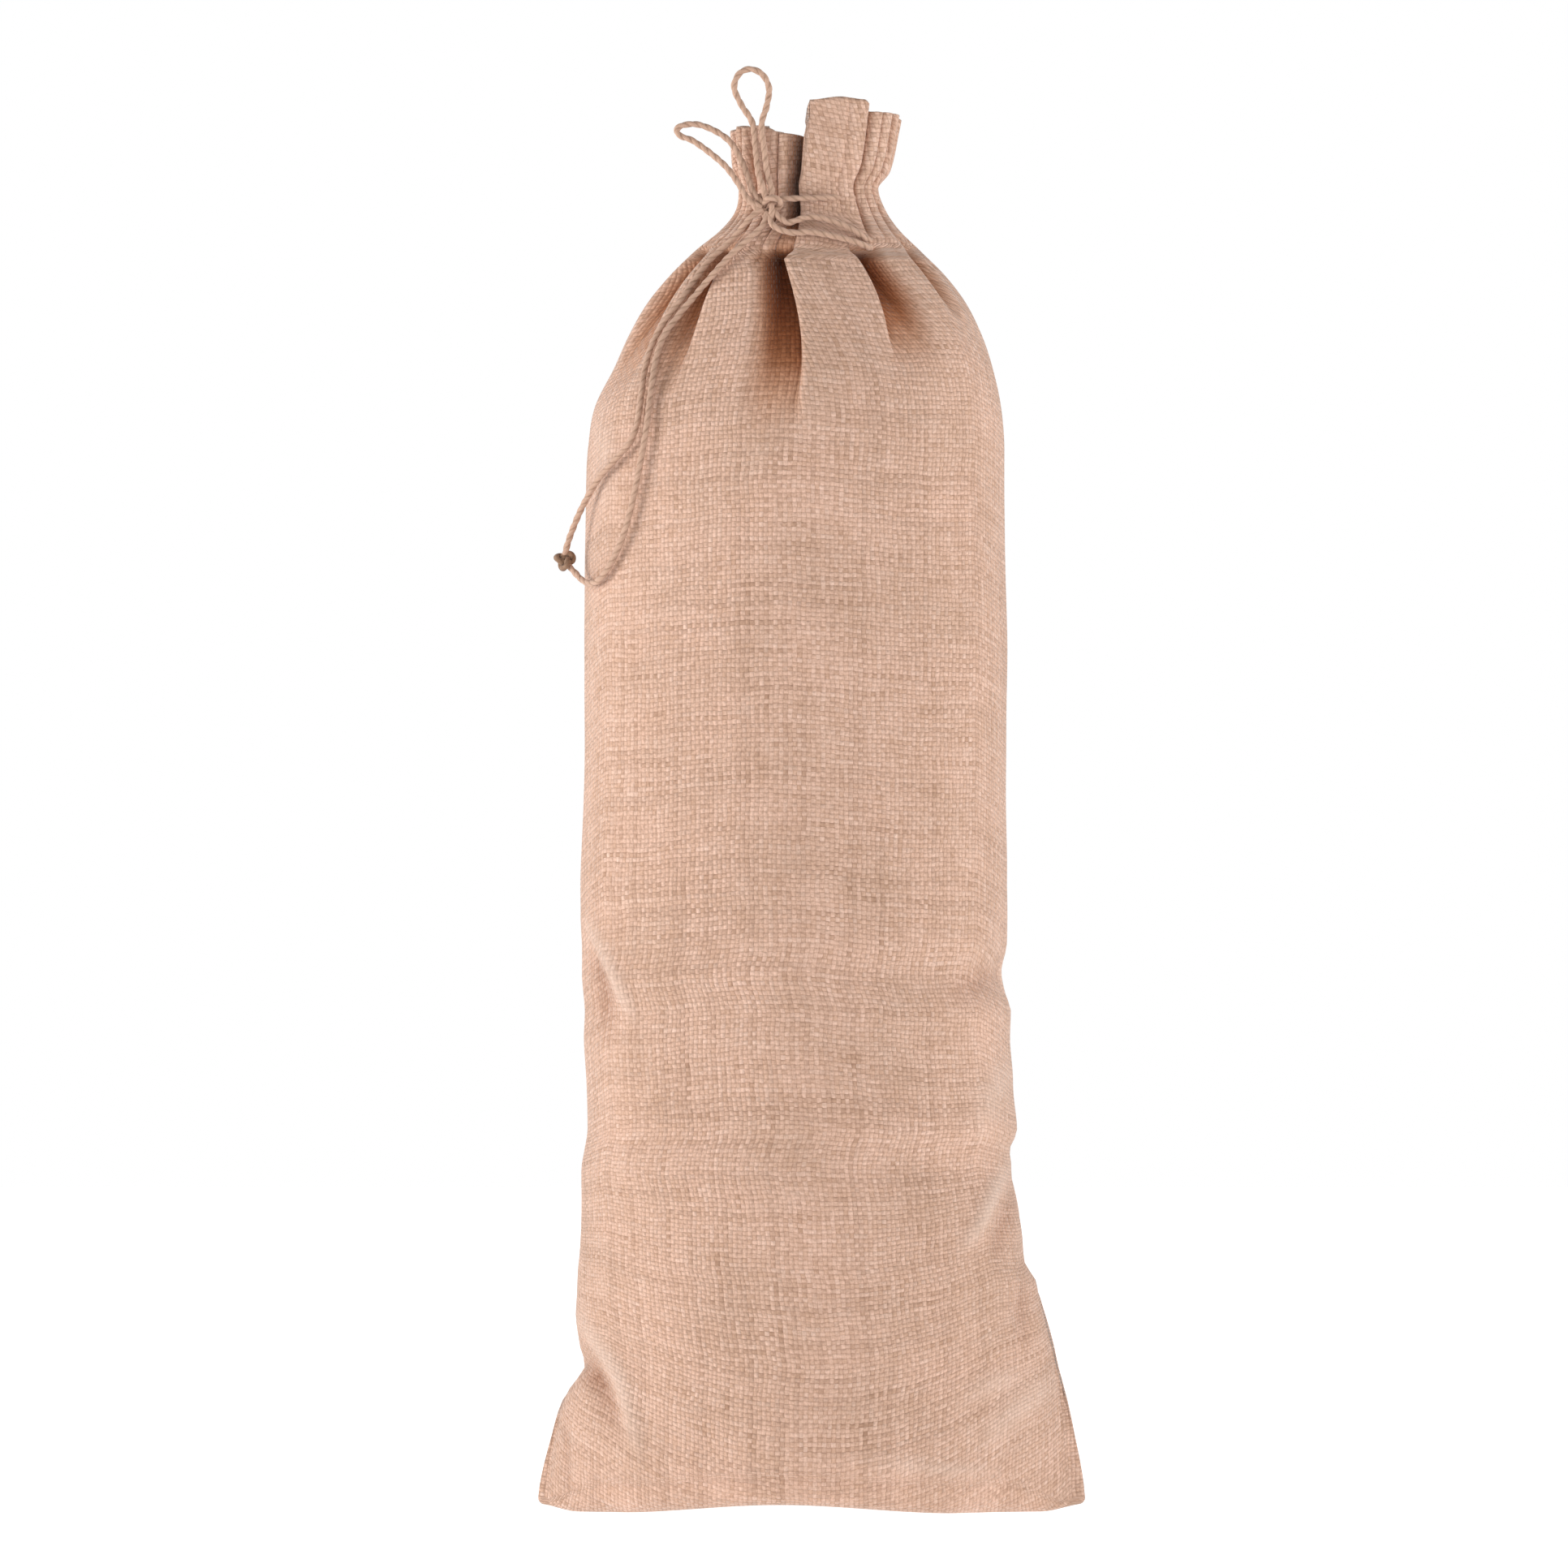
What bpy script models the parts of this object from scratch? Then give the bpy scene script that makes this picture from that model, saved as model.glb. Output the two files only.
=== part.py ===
"""A jute wine bag that stands upright, its neck drawn in and tied in a bow with jute twine.

The bag is two cloth panels, front and back, sewn together at the sides and along the bottom.
Each panel is a thin sheet placed section by section and given its thickness by Solidify.
Tables are in millimetres, with +X to the right, +Y to the back and +Z up. Metres come last.
"""

from bisect import bisect_right
from collections import namedtuple
from math import cos, hypot, pi, sin, sqrt

import bmesh
import bpy
from mathutils import Vector

MM = 0.001

# Cloth and twine
CLOTH_THICKNESS = 1.2
PIECE_GAP = 0.3
TWINE_DIAMETER = 1.6
TWINE_STEP = 2.0 * TWINE_DIAMETER

# Heights of the drawn-in neck, its folds and the heading above it
NECK_HEIGHT = 322.0
FOLD_DRIFT_START = 270.0
FOLD_FULL_HEIGHT = 310.0
HEADING_BASE = 328.0
HEADING_STEPS = 4
HEADING_FOLD_SHARE = 0.8

# The panels' middle surfaces stand off the seam plane: a rim's width where they meet edge to
# edge, and a cloth's thickness where they lie face to face in an ear
RIM_STAND_OFF = 0.35
EAR_STAND_OFF = (CLOTH_THICKNESS + PIECE_GAP) / 2

# The sewn corners stand out as flat ears, whose seam turns up a little at the tips
EAR_HALF_DEPTH = 1.6
EAR_EDGE_POWER = 8
EAR_FULL_WIDTH = 5.0
EAR_LIFT = 3.0
EAR_LIFT_START = 56.0
EAR_LIFT_REACH = 12.0
BOTTOM_SEAM_INSET = 2.2
BASE_CORNER_RADIUS = 8.0
BASE_CORNER_SHARE = 0.55
BASE_FLOOR_SHARES = (0.0, 0.5, 1.0)
BASE_CORNER_ANGLES = (pi / 4, pi / 2)

# One row a level section: its left and right edge, half depth, flat ear widths and fullness
Section = namedtuple("Section", "height left right depth ear_left ear_right fullness")
FLOOR_SECTION = Section(0.0, -67.8, 67.8, 34.0, 10.5, 15.0, 0.62)
WALL_SECTIONS = (
    Section(12.0, -66.0, 66.6, 37.4, 9.0, 13.5, 0.58),
    Section(22.0, -62.9, 64.8, 38.4, 6.5, 11.5, 0.55),
    Section(33.0, -56.0, 61.8, 38.4, 2.0, 9.0, 0.53),
    Section(44.0, -57.3, 58.6, 38.4, 0.0, 6.0, 0.52),
    Section(55.0, -57.4, 54.6, 38.4, 0.0, 3.0, 0.51),
    Section(61.0, -57.0, 52.0, 38.4, 0.0, 0.0, 0.50),
    Section(72.0, -56.5, 51.4, 38.4, 0.0, 0.0, 0.50),
    Section(86.0, -56.2, 48.4, 38.4, 0.0, 0.0, 0.50),
    Section(96.0, -55.0, 50.2, 38.4, 0.0, 0.0, 0.50),
    Section(122.0, -55.2, 49.0, 38.4, 0.0, 0.0, 0.50),
    Section(133.0, -56.2, 46.2, 38.2, 0.0, 0.0, 0.50),
    Section(150.0, -56.3, 47.8, 38.4, 0.0, 0.0, 0.50),
    Section(200.0, -55.6, 48.0, 38.4, 0.0, 0.0, 0.50),
    Section(250.0, -55.4, 47.2, 38.4, 0.0, 0.0, 0.50),
    Section(264.0, -54.8, 47.4, 38.2, 0.0, 0.0, 0.50),
    Section(274.0, -53.0, 46.4, 37.0, 0.0, 0.0, 0.50),
    Section(283.0, -48.6, 44.4, 34.8, 0.0, 0.0, 0.50),
    Section(291.0, -45.0, 41.8, 32.0, 0.0, 0.0, 0.50),
    Section(299.0, -40.4, 38.0, 28.6, 0.0, 0.0, 0.50),
    Section(306.0, -34.8, 32.8, 25.0, 0.0, 0.0, 0.50),
    Section(312.0, -28.4, 26.8, 21.4, 0.0, 0.0, 0.50),
    Section(317.0, -22.2, 21.8, 18.2, 0.0, 0.0, 0.50),
    Section(322.0, -18.4, 18.4, 15.8, 0.0, 0.0, 0.50),
    Section(328.0, -17.6, 16.4, 15.2, 0.0, 0.0, 0.50),
)
HEADING_TOP = Section(350.0, -19.6, 22.0, 17.6, 0.0, 0.0, 0.50)

# One row a fold: its place across the panel, low on the shoulder and high in the neck, how far
# its left and right slopes reach as shares of the panel's width, its depth and its lowest height
Fold = namedtuple("Fold", "low high left right depth foot")
FRONT_FOLDS = (
    Fold(0.095, 0.095, 0.040, 0.040, 6.0, 292.0),
    Fold(0.235, 0.225, 0.045, 0.035, 7.0, 272.0),
    Fold(0.335, 0.335, 0.030, 0.030, 6.0, 303.0),
    Fold(0.455, 0.450, 0.045, 0.025, 7.6, 258.0),
    Fold(0.670, 0.735, 0.035, 0.040, 7.2, 278.0),
    Fold(0.860, 0.865, 0.040, 0.040, 6.4, 294.0),
)
BACK_FOLDS = (
    Fold(0.110, 0.100, 0.040, 0.045, 6.2, 288.0),
    Fold(0.240, 0.245, 0.040, 0.040, 7.0, 276.0),
    Fold(0.400, 0.385, 0.045, 0.035, 7.2, 266.0),
    Fold(0.540, 0.555, 0.040, 0.040, 6.6, 286.0),
    Fold(0.720, 0.715, 0.035, 0.045, 7.2, 270.0),
    Fold(0.880, 0.875, 0.040, 0.040, 6.0, 290.0),
)
SLOPE_STEPS = ((-1.0, 0.0), (-0.5, 0.5), (0.0, 1.0), (0.5, 0.5), (1.0, 0.0))
RIDGE_STEP = 0.06

# A column of a panel's grid: its place low and high, its fold if any and its share of the depth
Column = namedtuple("Column", "low high fold depth")

# Height of the heading's upper edge across each panel
Edge = namedtuple("Edge", "place height")
FRONT_EDGE = (
    Edge(0.00, 341.5), Edge(0.14, 342.5), Edge(0.26, 343.0), Edge(0.37, 341.0),
    Edge(0.45, 340.0), Edge(0.48, 349.6), Edge(0.60, 350.0), Edge(0.70, 349.4),
    Edge(0.75, 346.4), Edge(0.88, 346.2), Edge(1.00, 343.8),
)
BACK_EDGE = (
    Edge(0.00, 341.5), Edge(0.16, 343.6), Edge(0.32, 341.2), Edge(0.46, 339.6),
    Edge(0.60, 341.4), Edge(0.78, 344.6), Edge(0.90, 343.2), Edge(1.00, 343.8),
)

OUTLINE_POINTS = 240

# Colours
JUTE_COLOUR = (0.62, 0.42, 0.30, 1.0)
TWINE_COLOUR = (0.46, 0.32, 0.22, 1.0)
FIBRE_ROUGHNESS = 0.9

# The bow's knot lies on the neck, left of its middle, and a second knot joins the two free ends
KNOT_CENTRE = (-10.8, -18.4, 322.8)
KNOT_RADII = (3.8, 2.8, 3.8)
END_KNOT_CENTRE = (-61.0, -7.0, 235.6)
END_KNOT_RADII = (2.8, 2.6, 2.8)
KNOT_SEGMENTS = 16
KNOT_RINGS = 10

# Routes of the twine: once round the neck, and two strands from the knot to the casing's slit
NECK_TWINE = (
    (-6.1, -18.9, 324.7), (0.0, -18.6, 324.9), (8.0, -17.2, 325.0), (14.6, -12.8, 325.2),
    (18.4, -5.4, 325.4), (19.4, 3.6, 325.4), (15.4, 12.8, 325.2), (6.6, 17.4, 325.0),
    (-3.4, 18.4, 325.0), (-12.2, 15.6, 324.8), (-18.4, 8.6, 324.6), (-20.4, 0.0, 324.4),
    (-19.2, -7.6, 324.1), (-17.2, -12.4, 323.8), (-15.6, -15.6, 323.5),
)
UPPER_STRAND = (
    (-7.0, -20.4, 319.4), (-5.4, -20.4, 318.8), (0.1, -20.0, 320.4), (6.3, -19.9, 319.0),
    (12.0, -19.2, 317.2),
)
LOWER_STRAND = (
    (-9.2, -21.0, 317.9), (-5.0, -21.6, 316.3), (0.1, -22.2, 316.4), (6.5, -22.0, 315.2),
    (12.8, -20.9, 314.1),
)

# Routes of the bow's two loops and of its two free ends, which hang down the bag's left side
LOOP_UP = (
    (-11.8, -19.2, 327.4), (-13.1, -18.0, 331.2), (-13.7, -17.0, 337.0), (-14.5, -16.6, 343.4),
    (-17.2, -16.4, 347.9), (-19.0, -16.4, 352.2), (-17.8, -16.4, 355.6), (-15.0, -16.4, 356.8),
    (-12.0, -16.4, 355.4), (-10.4, -16.6, 352.0), (-11.0, -16.8, 347.6), (-12.2, -17.0, 343.2),
    (-11.6, -17.4, 337.0), (-10.9, -18.0, 331.2), (-9.6, -19.2, 327.2),
)
LOOP_LEFT = (
    (-15.4, -19.0, 324.4), (-17.8, -18.0, 328.2), (-20.8, -16.6, 332.4), (-24.8, -15.2, 336.0),
    (-29.3, -14.2, 339.2), (-32.0, -13.9, 340.2), (-33.2, -13.8, 341.6), (-32.0, -13.8, 342.9),
    (-28.1, -14.0, 343.2), (-23.4, -14.4, 341.4), (-19.8, -15.0, 338.6), (-17.2, -15.8, 334.2),
    (-15.6, -17.0, 330.2), (-14.3, -18.2, 326.4),
)
TAIL_LEFT = (
    (-14.8, -18.9, 320.2), (-19.2, -17.2, 315.0), (-25.0, -17.0, 309.7), (-28.5, -18.0, 305.1),
    (-32.1, -20.1, 299.8), (-35.9, -20.8, 294.8), (-39.0, -21.6, 289.2), (-40.9, -22.9, 283.1),
    (-41.8, -25.5, 277.0), (-42.7, -27.1, 270.0), (-44.6, -26.8, 264.6), (-48.4, -23.4, 260.2),
    (-52.6, -18.6, 255.4), (-56.4, -13.0, 249.0), (-58.9, -10.0, 243.4), (-60.3, -8.2, 239.4),
)
TAIL_RIGHT = (
    (-12.0, -20.0, 318.0), (-16.0, -20.6, 314.2), (-19.6, -20.7, 311.0), (-23.3, -21.3, 307.0),
    (-27.6, -21.0, 302.0), (-32.6, -21.9, 296.0), (-36.2, -23.0, 290.9), (-38.2, -24.4, 285.3),
    (-39.5, -27.4, 277.3), (-40.6, -29.6, 268.0), (-42.2, -29.1, 258.8), (-43.6, -28.2, 251.8),
    (-44.9, -27.2, 246.3), (-46.4, -25.8, 241.3), (-48.2, -23.8, 237.0), (-50.4, -21.2, 233.0),
    (-52.6, -18.2, 230.4), (-54.8, -14.4, 229.8), (-56.6, -10.8, 231.2), (-58.1, -8.6, 233.3),
)
ROUTE_STEPS = 12
TWINE_ROUNDING = 2


def clear_scene():
    """Start from an empty scene."""
    for obj in list(bpy.data.objects):
        bpy.data.objects.remove(obj, do_unlink=True)


def make_material(name, colour):
    """A plain Principled material in one colour."""
    material = bpy.data.materials.new(name)
    material.use_nodes = True
    shader = material.node_tree.nodes["Principled BSDF"]
    shader.inputs["Base Color"].default_value = colour
    shader.inputs["Roughness"].default_value = FIBRE_ROUGHNESS
    shader.inputs["Metallic"].default_value = 0.0
    return material


def mix(start, end, share):
    """The value a share of the way from start to end."""
    return start + (end - start) * share


def ease(value):
    """A soft step from 0 to 1."""
    value = min(1.0, max(0.0, value))
    return value * value * (3.0 - 2.0 * value)


def half_depth(section, x):
    """How far the panel stands out from the seam plane at x in a section."""
    half_width = (section.right - section.left) / 2
    across = min(1.0, abs(x - section.left - half_width) / half_width)
    body_left = section.left + section.ear_left
    body_right = section.right - section.ear_right
    body_half = (body_right - body_left) / 2
    inside = min(1.0, abs(x - body_left - body_half) / body_half)
    ear = EAR_HALF_DEPTH * sqrt(1.0 - across ** EAR_EDGE_POWER)
    body = (section.depth - EAR_HALF_DEPTH) * (1.0 - inside ** 2) ** section.fullness
    return ear + body


def stand_off(ear_width):
    """How far the panel's middle surface stands off the seam plane beside a seam."""
    return mix(RIM_STAND_OFF, EAR_STAND_OFF, ease(ear_width / EAR_FULL_WIDTH))


def outline(section):
    """Points of a section's half, close together, from the left seam to the right one."""
    centre = (section.left + section.right) / 2
    half_width = (section.right - section.left) / 2
    left_gap, right_gap = stand_off(section.ear_left), stand_off(section.ear_right)
    points = []
    for index in range(OUTLINE_POINTS + 1):
        share = index / OUTLINE_POINTS
        x = centre + half_width * sin(pi * (share - 0.5))
        points.append((x, mix(left_gap, right_gap, share) + half_depth(section, x)))
    return points


def place_columns(points, shares):
    """Each share's place along the points, with the outward direction there."""
    lengths = [0.0]
    for start, end in zip(points, points[1:]):
        lengths.append(lengths[-1] + hypot(end[0] - start[0], end[1] - start[1]))
    placed = []
    for share in shares:
        target = share * lengths[-1]
        index = min(bisect_right(lengths, target), len(points) - 1)
        before, after = points[index - 1], points[index]
        run = lengths[index] - lengths[index - 1]
        along = (target - lengths[index - 1]) / run
        step = (after[0] - before[0], after[1] - before[1])
        size = hypot(*step)
        outward = (-step[1] / size, step[0] / size)
        placed.append((mix(before[0], after[0], along), mix(before[1], after[1], along), outward))
    return placed


def column_plan(folds):
    """The panel's columns: for each, its low and high place, its fold and its share of depth."""
    plan = []
    low_end, high_end = 0.0, 0.0
    for fold in list(folds) + [None]:
        low_start = 1.0 if fold is None else fold.low - fold.left
        high_start = 1.0 if fold is None else fold.high - fold.left
        steps = max(1, round((high_start - high_end) / RIDGE_STEP))
        first = 0 if not plan else 1
        last = steps + 1 if fold is None else steps
        for step in range(first, last):
            share = step / steps
            low, high = mix(low_end, low_start, share), mix(high_end, high_start, share)
            plan.append(Column(low, high, None, 0.0))
        if fold is None:
            break
        for side, depth in SLOPE_STEPS:
            reach = (fold.left if side < 0 else fold.right) * side
            plan.append(Column(fold.low + reach, fold.high + reach, fold, depth))
        low_end, high_end = fold.low + fold.right, fold.high + fold.right
    return plan


def fold_strength(fold, height):
    """How deep a fold is at a height, as a share of its depth."""
    strength = ease((height - fold.foot) / (FOLD_FULL_HEIGHT - fold.foot))
    fading = ease((height - HEADING_BASE) / (HEADING_TOP.height - HEADING_BASE))
    return strength * mix(1.0, HEADING_FOLD_SHARE, fading)


def section_row(section, plan, height):
    """One row of the panel: its columns in the seam's right-hand frame, folds pressed in."""
    blend = ease((height - FOLD_DRIFT_START) / (NECK_HEIGHT - FOLD_DRIFT_START))
    shares = [mix(column.low, column.high, blend) for column in plan]
    row = []
    for column, (x, y, outward) in zip(plan, place_columns(outline(section), shares)):
        dip = 0.0
        if column.fold is not None:
            dip = column.fold.depth * column.depth * fold_strength(column.fold, height)
        row.append((x - outward[0] * dip, y - outward[1] * dip, height))
    return row


def ear_lift(x):
    """How far the bottom seam is lifted at x."""
    return EAR_LIFT * ease((abs(x) - EAR_LIFT_START) / EAR_LIFT_REACH)


def floor_rows(plan):
    """Rows that run from the bottom seam out along the floor and turn up into the wall."""
    shares = [column.low for column in plan]
    feet = place_columns(outline(FLOOR_SECTION), shares)
    seam_left = FLOOR_SECTION.left + BOTTOM_SEAM_INSET
    seam_right = FLOOR_SECTION.right - BOTTOM_SEAM_INSET
    seams = [mix(seam_left, seam_right, share) for share in shares]
    steps = [(share, 0.0) for share in BASE_FLOOR_SHARES]
    steps += [(1.0, angle) for angle in BASE_CORNER_ANGLES]
    rows = []
    for share, angle in steps:
        row = []
        for (x, y, _), seam in zip(feet, seams):
            gap = mix(RIM_STAND_OFF, EAR_STAND_OFF, ear_lift(seam) / EAR_LIFT)
            reach = hypot(x - seam, y - gap)
            corner = min(BASE_CORNER_RADIUS, BASE_CORNER_SHARE * reach)
            run = ((reach - corner) * share + corner * sin(angle)) / reach
            rise = CLOTH_THICKNESS / 2 + ear_lift(seam) + corner * (1.0 - cos(angle))
            row.append((mix(seam, x, run), mix(gap, y, run), rise))
        rows.append(row)
    return rows


def edge_height(edges, place):
    """Height of the heading's upper edge at a place across the panel."""
    for start, end in zip(edges, edges[1:]):
        if place <= end.place:
            return mix(start.height, end.height, (place - start.place) / (end.place - start.place))
    return edges[-1].height


def heading_rows(plan, edges):
    """Rows of the heading, from the neck up to its uneven upper edge."""
    start = WALL_SECTIONS[-1]
    rows = []
    for step in range(1, HEADING_STEPS + 1):
        share = step / HEADING_STEPS
        flare = sin(share * pi / 2)
        values = [mix(low, high, flare) for low, high in zip(start, HEADING_TOP)]
        section = Section(*values)
        row = []
        level = mix(start.height, HEADING_TOP.height, share)
        for column, (x, y, _) in zip(plan, section_row(section, plan, level)):
            top = edge_height(edges, column.high)
            row.append((x, y, mix(start.height, top, share)))
        rows.append(row)
    return rows


def make_panel(name, side, folds, edges, material, collection):
    """One panel of the bag, side -1 for the front and 1 for the back."""
    plan = column_plan(folds)
    rows = floor_rows(plan)
    rows += [section_row(section, plan, section.height) for section in WALL_SECTIONS]
    rows += heading_rows(plan, edges)
    bm = bmesh.new()
    grid = []
    for row in rows:
        grid.append([bm.verts.new((x * MM, side * y * MM, z * MM)) for x, y, z in row])
    for below, above in zip(grid, grid[1:]):
        for left in range(len(plan) - 1):
            corners = (below[left], below[left + 1], above[left + 1], above[left])
            bm.faces.new(corners if side < 0 else corners[::-1])
    mesh = bpy.data.meshes.new(name)
    bm.to_mesh(mesh)
    bm.free()
    mesh.shade_smooth()
    mesh.materials.append(material)
    panel = bpy.data.objects.new(name, mesh)
    collection.objects.link(panel)
    solidify = panel.modifiers.new("thickness", "SOLIDIFY")
    solidify.thickness = CLOTH_THICKNESS * MM
    solidify.offset = 0.0
    solidify.use_even_offset = True
    solidify.use_quality_normals = True
    return panel


def smooth_points(route):
    """Points close together on a smooth curve through a route's points."""
    ends = [route[0]] + list(route) + [route[-1]]
    points = []
    for before, start, end, after in zip(ends, ends[1:], ends[2:], ends[3:]):
        p0, p1, p2, p3 = (Vector(point) for point in (before, start, end, after))
        for step in range(ROUTE_STEPS):
            t = step / ROUTE_STEPS
            pull = (p2 - p0) * t + (2 * p0 - 5 * p1 + 4 * p2 - p3) * t ** 2
            points.append(p1 + (pull + (3 * p1 - p0 - 3 * p2 + p3) * t ** 3) / 2)
    points.append(Vector(route[-1]))
    return points


def even_points(points, step):
    """The same curve with its points an even step apart."""
    lengths = [0.0]
    for start, end in zip(points, points[1:]):
        lengths.append(lengths[-1] + (end - start).length)
    count = max(2, round(lengths[-1] / step))
    placed = []
    for index in range(count + 1):
        target = lengths[-1] * index / count
        place = min(max(1, bisect_right(lengths, target)), len(points) - 1)
        run = lengths[place] - lengths[place - 1]
        placed.append(points[place - 1].lerp(points[place], (target - lengths[place - 1]) / run))
    return placed


def make_twine(name, route, material, collection):
    """A length of round twine along a route."""
    points = even_points(smooth_points(route), TWINE_STEP)
    curve = bpy.data.curves.new(name, "CURVE")
    curve.dimensions = "3D"
    curve.bevel_depth = TWINE_DIAMETER / 2 * MM
    curve.bevel_resolution = TWINE_ROUNDING
    curve.use_fill_caps = True
    spline = curve.splines.new("POLY")
    spline.points.add(len(points) - 1)
    for point, place in zip(spline.points, points):
        point.co = (*(place * MM), 1.0)
    curve.materials.append(material)
    twine = bpy.data.objects.new(name, curve)
    collection.objects.link(twine)
    return twine


def make_knot(name, centre, radii, material, collection):
    """A knot, as the rounded lump that its turns make."""
    bm = bmesh.new()
    bmesh.ops.create_uvsphere(bm, u_segments=KNOT_SEGMENTS, v_segments=KNOT_RINGS, radius=1.0)
    bmesh.ops.scale(bm, vec=Vector(radii) * MM, verts=bm.verts)
    mesh = bpy.data.meshes.new(name)
    bm.to_mesh(mesh)
    bm.free()
    mesh.shade_smooth()
    mesh.materials.append(material)
    knot = bpy.data.objects.new(name, mesh)
    knot.location = Vector(centre) * MM
    collection.objects.link(knot)
    return knot


def build():
    """Make the whole bag."""
    clear_scene()
    collection = bpy.data.collections.new("jute_wine_bag")
    bpy.context.scene.collection.children.link(collection)
    jute = make_material("jute_cloth", JUTE_COLOUR)
    twine = make_material("jute_twine", TWINE_COLOUR)
    make_panel("front_panel", -1, FRONT_FOLDS, FRONT_EDGE, jute, collection)
    make_panel("back_panel", 1, BACK_FOLDS, BACK_EDGE, jute, collection)
    make_twine("neck_twine", NECK_TWINE, twine, collection)
    make_twine("upper_strand", UPPER_STRAND, twine, collection)
    make_twine("lower_strand", LOWER_STRAND, twine, collection)
    make_knot("bow_knot", KNOT_CENTRE, KNOT_RADII, twine, collection)
    make_twine("loop_up", LOOP_UP, twine, collection)
    make_twine("loop_left", LOOP_LEFT, twine, collection)
    make_twine("tail_left", TAIL_LEFT, twine, collection)
    make_twine("tail_right", TAIL_RIGHT, twine, collection)
    make_knot("end_knot", END_KNOT_CENTRE, END_KNOT_RADII, twine, collection)


build()
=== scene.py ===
"""The looks of the jute wine bag: its cloth, its seams and its twine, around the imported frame."""

from bisect import bisect_right
from collections import namedtuple
from math import cos, exp, hypot, pi, sin, sqrt, tau

import bpy
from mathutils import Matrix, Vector, noise


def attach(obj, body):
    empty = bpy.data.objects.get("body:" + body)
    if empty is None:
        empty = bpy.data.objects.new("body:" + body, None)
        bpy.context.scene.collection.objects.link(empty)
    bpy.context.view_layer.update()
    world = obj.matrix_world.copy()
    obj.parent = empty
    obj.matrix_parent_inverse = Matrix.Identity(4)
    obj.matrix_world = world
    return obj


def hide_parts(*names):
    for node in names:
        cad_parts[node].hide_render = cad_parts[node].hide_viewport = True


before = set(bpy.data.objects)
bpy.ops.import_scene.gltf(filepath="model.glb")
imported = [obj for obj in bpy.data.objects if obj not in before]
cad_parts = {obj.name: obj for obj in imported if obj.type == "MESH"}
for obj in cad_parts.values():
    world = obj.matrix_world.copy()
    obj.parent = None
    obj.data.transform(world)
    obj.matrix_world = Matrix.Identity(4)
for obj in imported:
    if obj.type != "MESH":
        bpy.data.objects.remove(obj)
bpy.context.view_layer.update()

# Lengths in the tables are in millimetres
MM = 0.001

# Camera: level, far off, framed like the photograph
FRAME_WIDTH = 388.6
FRAME_CENTRE = (-6.7, 180.2)
CAMERA_DISTANCE = 5000.0
CAMERA_REACH = 100.0
SENSOR_WIDTH = 36.0

# Cloth
CLOTH_THICKNESS = 1.0
PANEL_WIDTH = 144.0
COLUMNS = 176
ROWS = 250
RIM_STAND_OFF = 0.05
EAR_STAND_OFF = 0.40
EAR_FULL_WIDTH = 5.0
SEAM_ROLL = 0.7
SEAM_ROLL_WIDTH = 2.2
SEAM_ROLL_REACH = 3.0
SLACK_START = 8.0
SLACK_RUN = 20.0
SLACK_TOP = 300.0
SLACK_TOP_LOSS = 0.6
SLACK_EDGE = 0.04
CREASE_EDGE = 0.015
NECK_HEIGHT = 322.0
FOLD_FULL_HEIGHT = 310.0
FOLD_DRIFT_START = 280.0
HEADING_BASE = 328.0
HEADING_FOLD_SHARE = 0.85
FINE_ROWS_START = 252.0
FINE_ROWS_SHARE = 0.48

# The casing that holds the twine: its lower edge bridges the folds as a soft lip
CASING_HEIGHT = 309.6
CASING_BRIDGE = 0.8
CASING_PUFF = 0.06
CASING_LIP = 3.4
CASING_FLAT = 5.0
CASING_RISE = 7.0
FOLD_LEAST_RUN = 8.0
OUTLINE_POINTS = 360

# Twine
TWINE_DIAMETER = 1.6
TWINE_PLIES = 2
TWINE_PITCH = 5.2
TWINE_SIDES = 18
TWINE_STEP = 0.32
PLY_CORE = 0.79
PLY_BULGE = 0.22
SLUB_SHARE = 0.07
SLUB_LENGTH = 2.4
SLUB_PLACE = 3.0

# Base: ears lift a little at their tips, and the underside arches between its two resting ends
EAR_HALF_DEPTH = 1.4
EAR_EDGE_POWER = 8
EAR_FLAT_SHARE = 0.25
EAR_SOFTNESS = 0.035
EAR_LIFT = 2.0
EAR_LIFT_START = 56.0
EAR_LIFT_REACH = 12.0
BASE_CORNER_RADIUS = 8.0
BASE_CORNER_SHARE = 0.55
BOTTOM_SEAM_INSET = 2.2
FLOOR_ROW_SHARE = 0.07
CORNER_ROW_SHARE = 0.04
FLOOR_ROWS = round(ROWS * FLOOR_ROW_SHARE)
CORNER_ROWS = round(ROWS * CORNER_ROW_SHARE)
WALL_ROW_GAP = 0.5
EVEN_HEIGHT = 40.0
STRAIGHT_HEIGHT = 115.0
ARCH_LIFT = 2.4
ARCH_CENTRE = -6.0
ARCH_REACH = 40.0

# Shapes of the folds, and how deep a fold gets the full painted shade
DEEP_FOLD = 9.5
SHADE_POWER = 0.9
HEADING_SHADE_FADE = 0.5
WIDE_REACH = 0.05
FOLD_FLOOR = 0.45
LIP_REACH = 0.11
NECK_REACH_SHARE = 0.65

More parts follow.
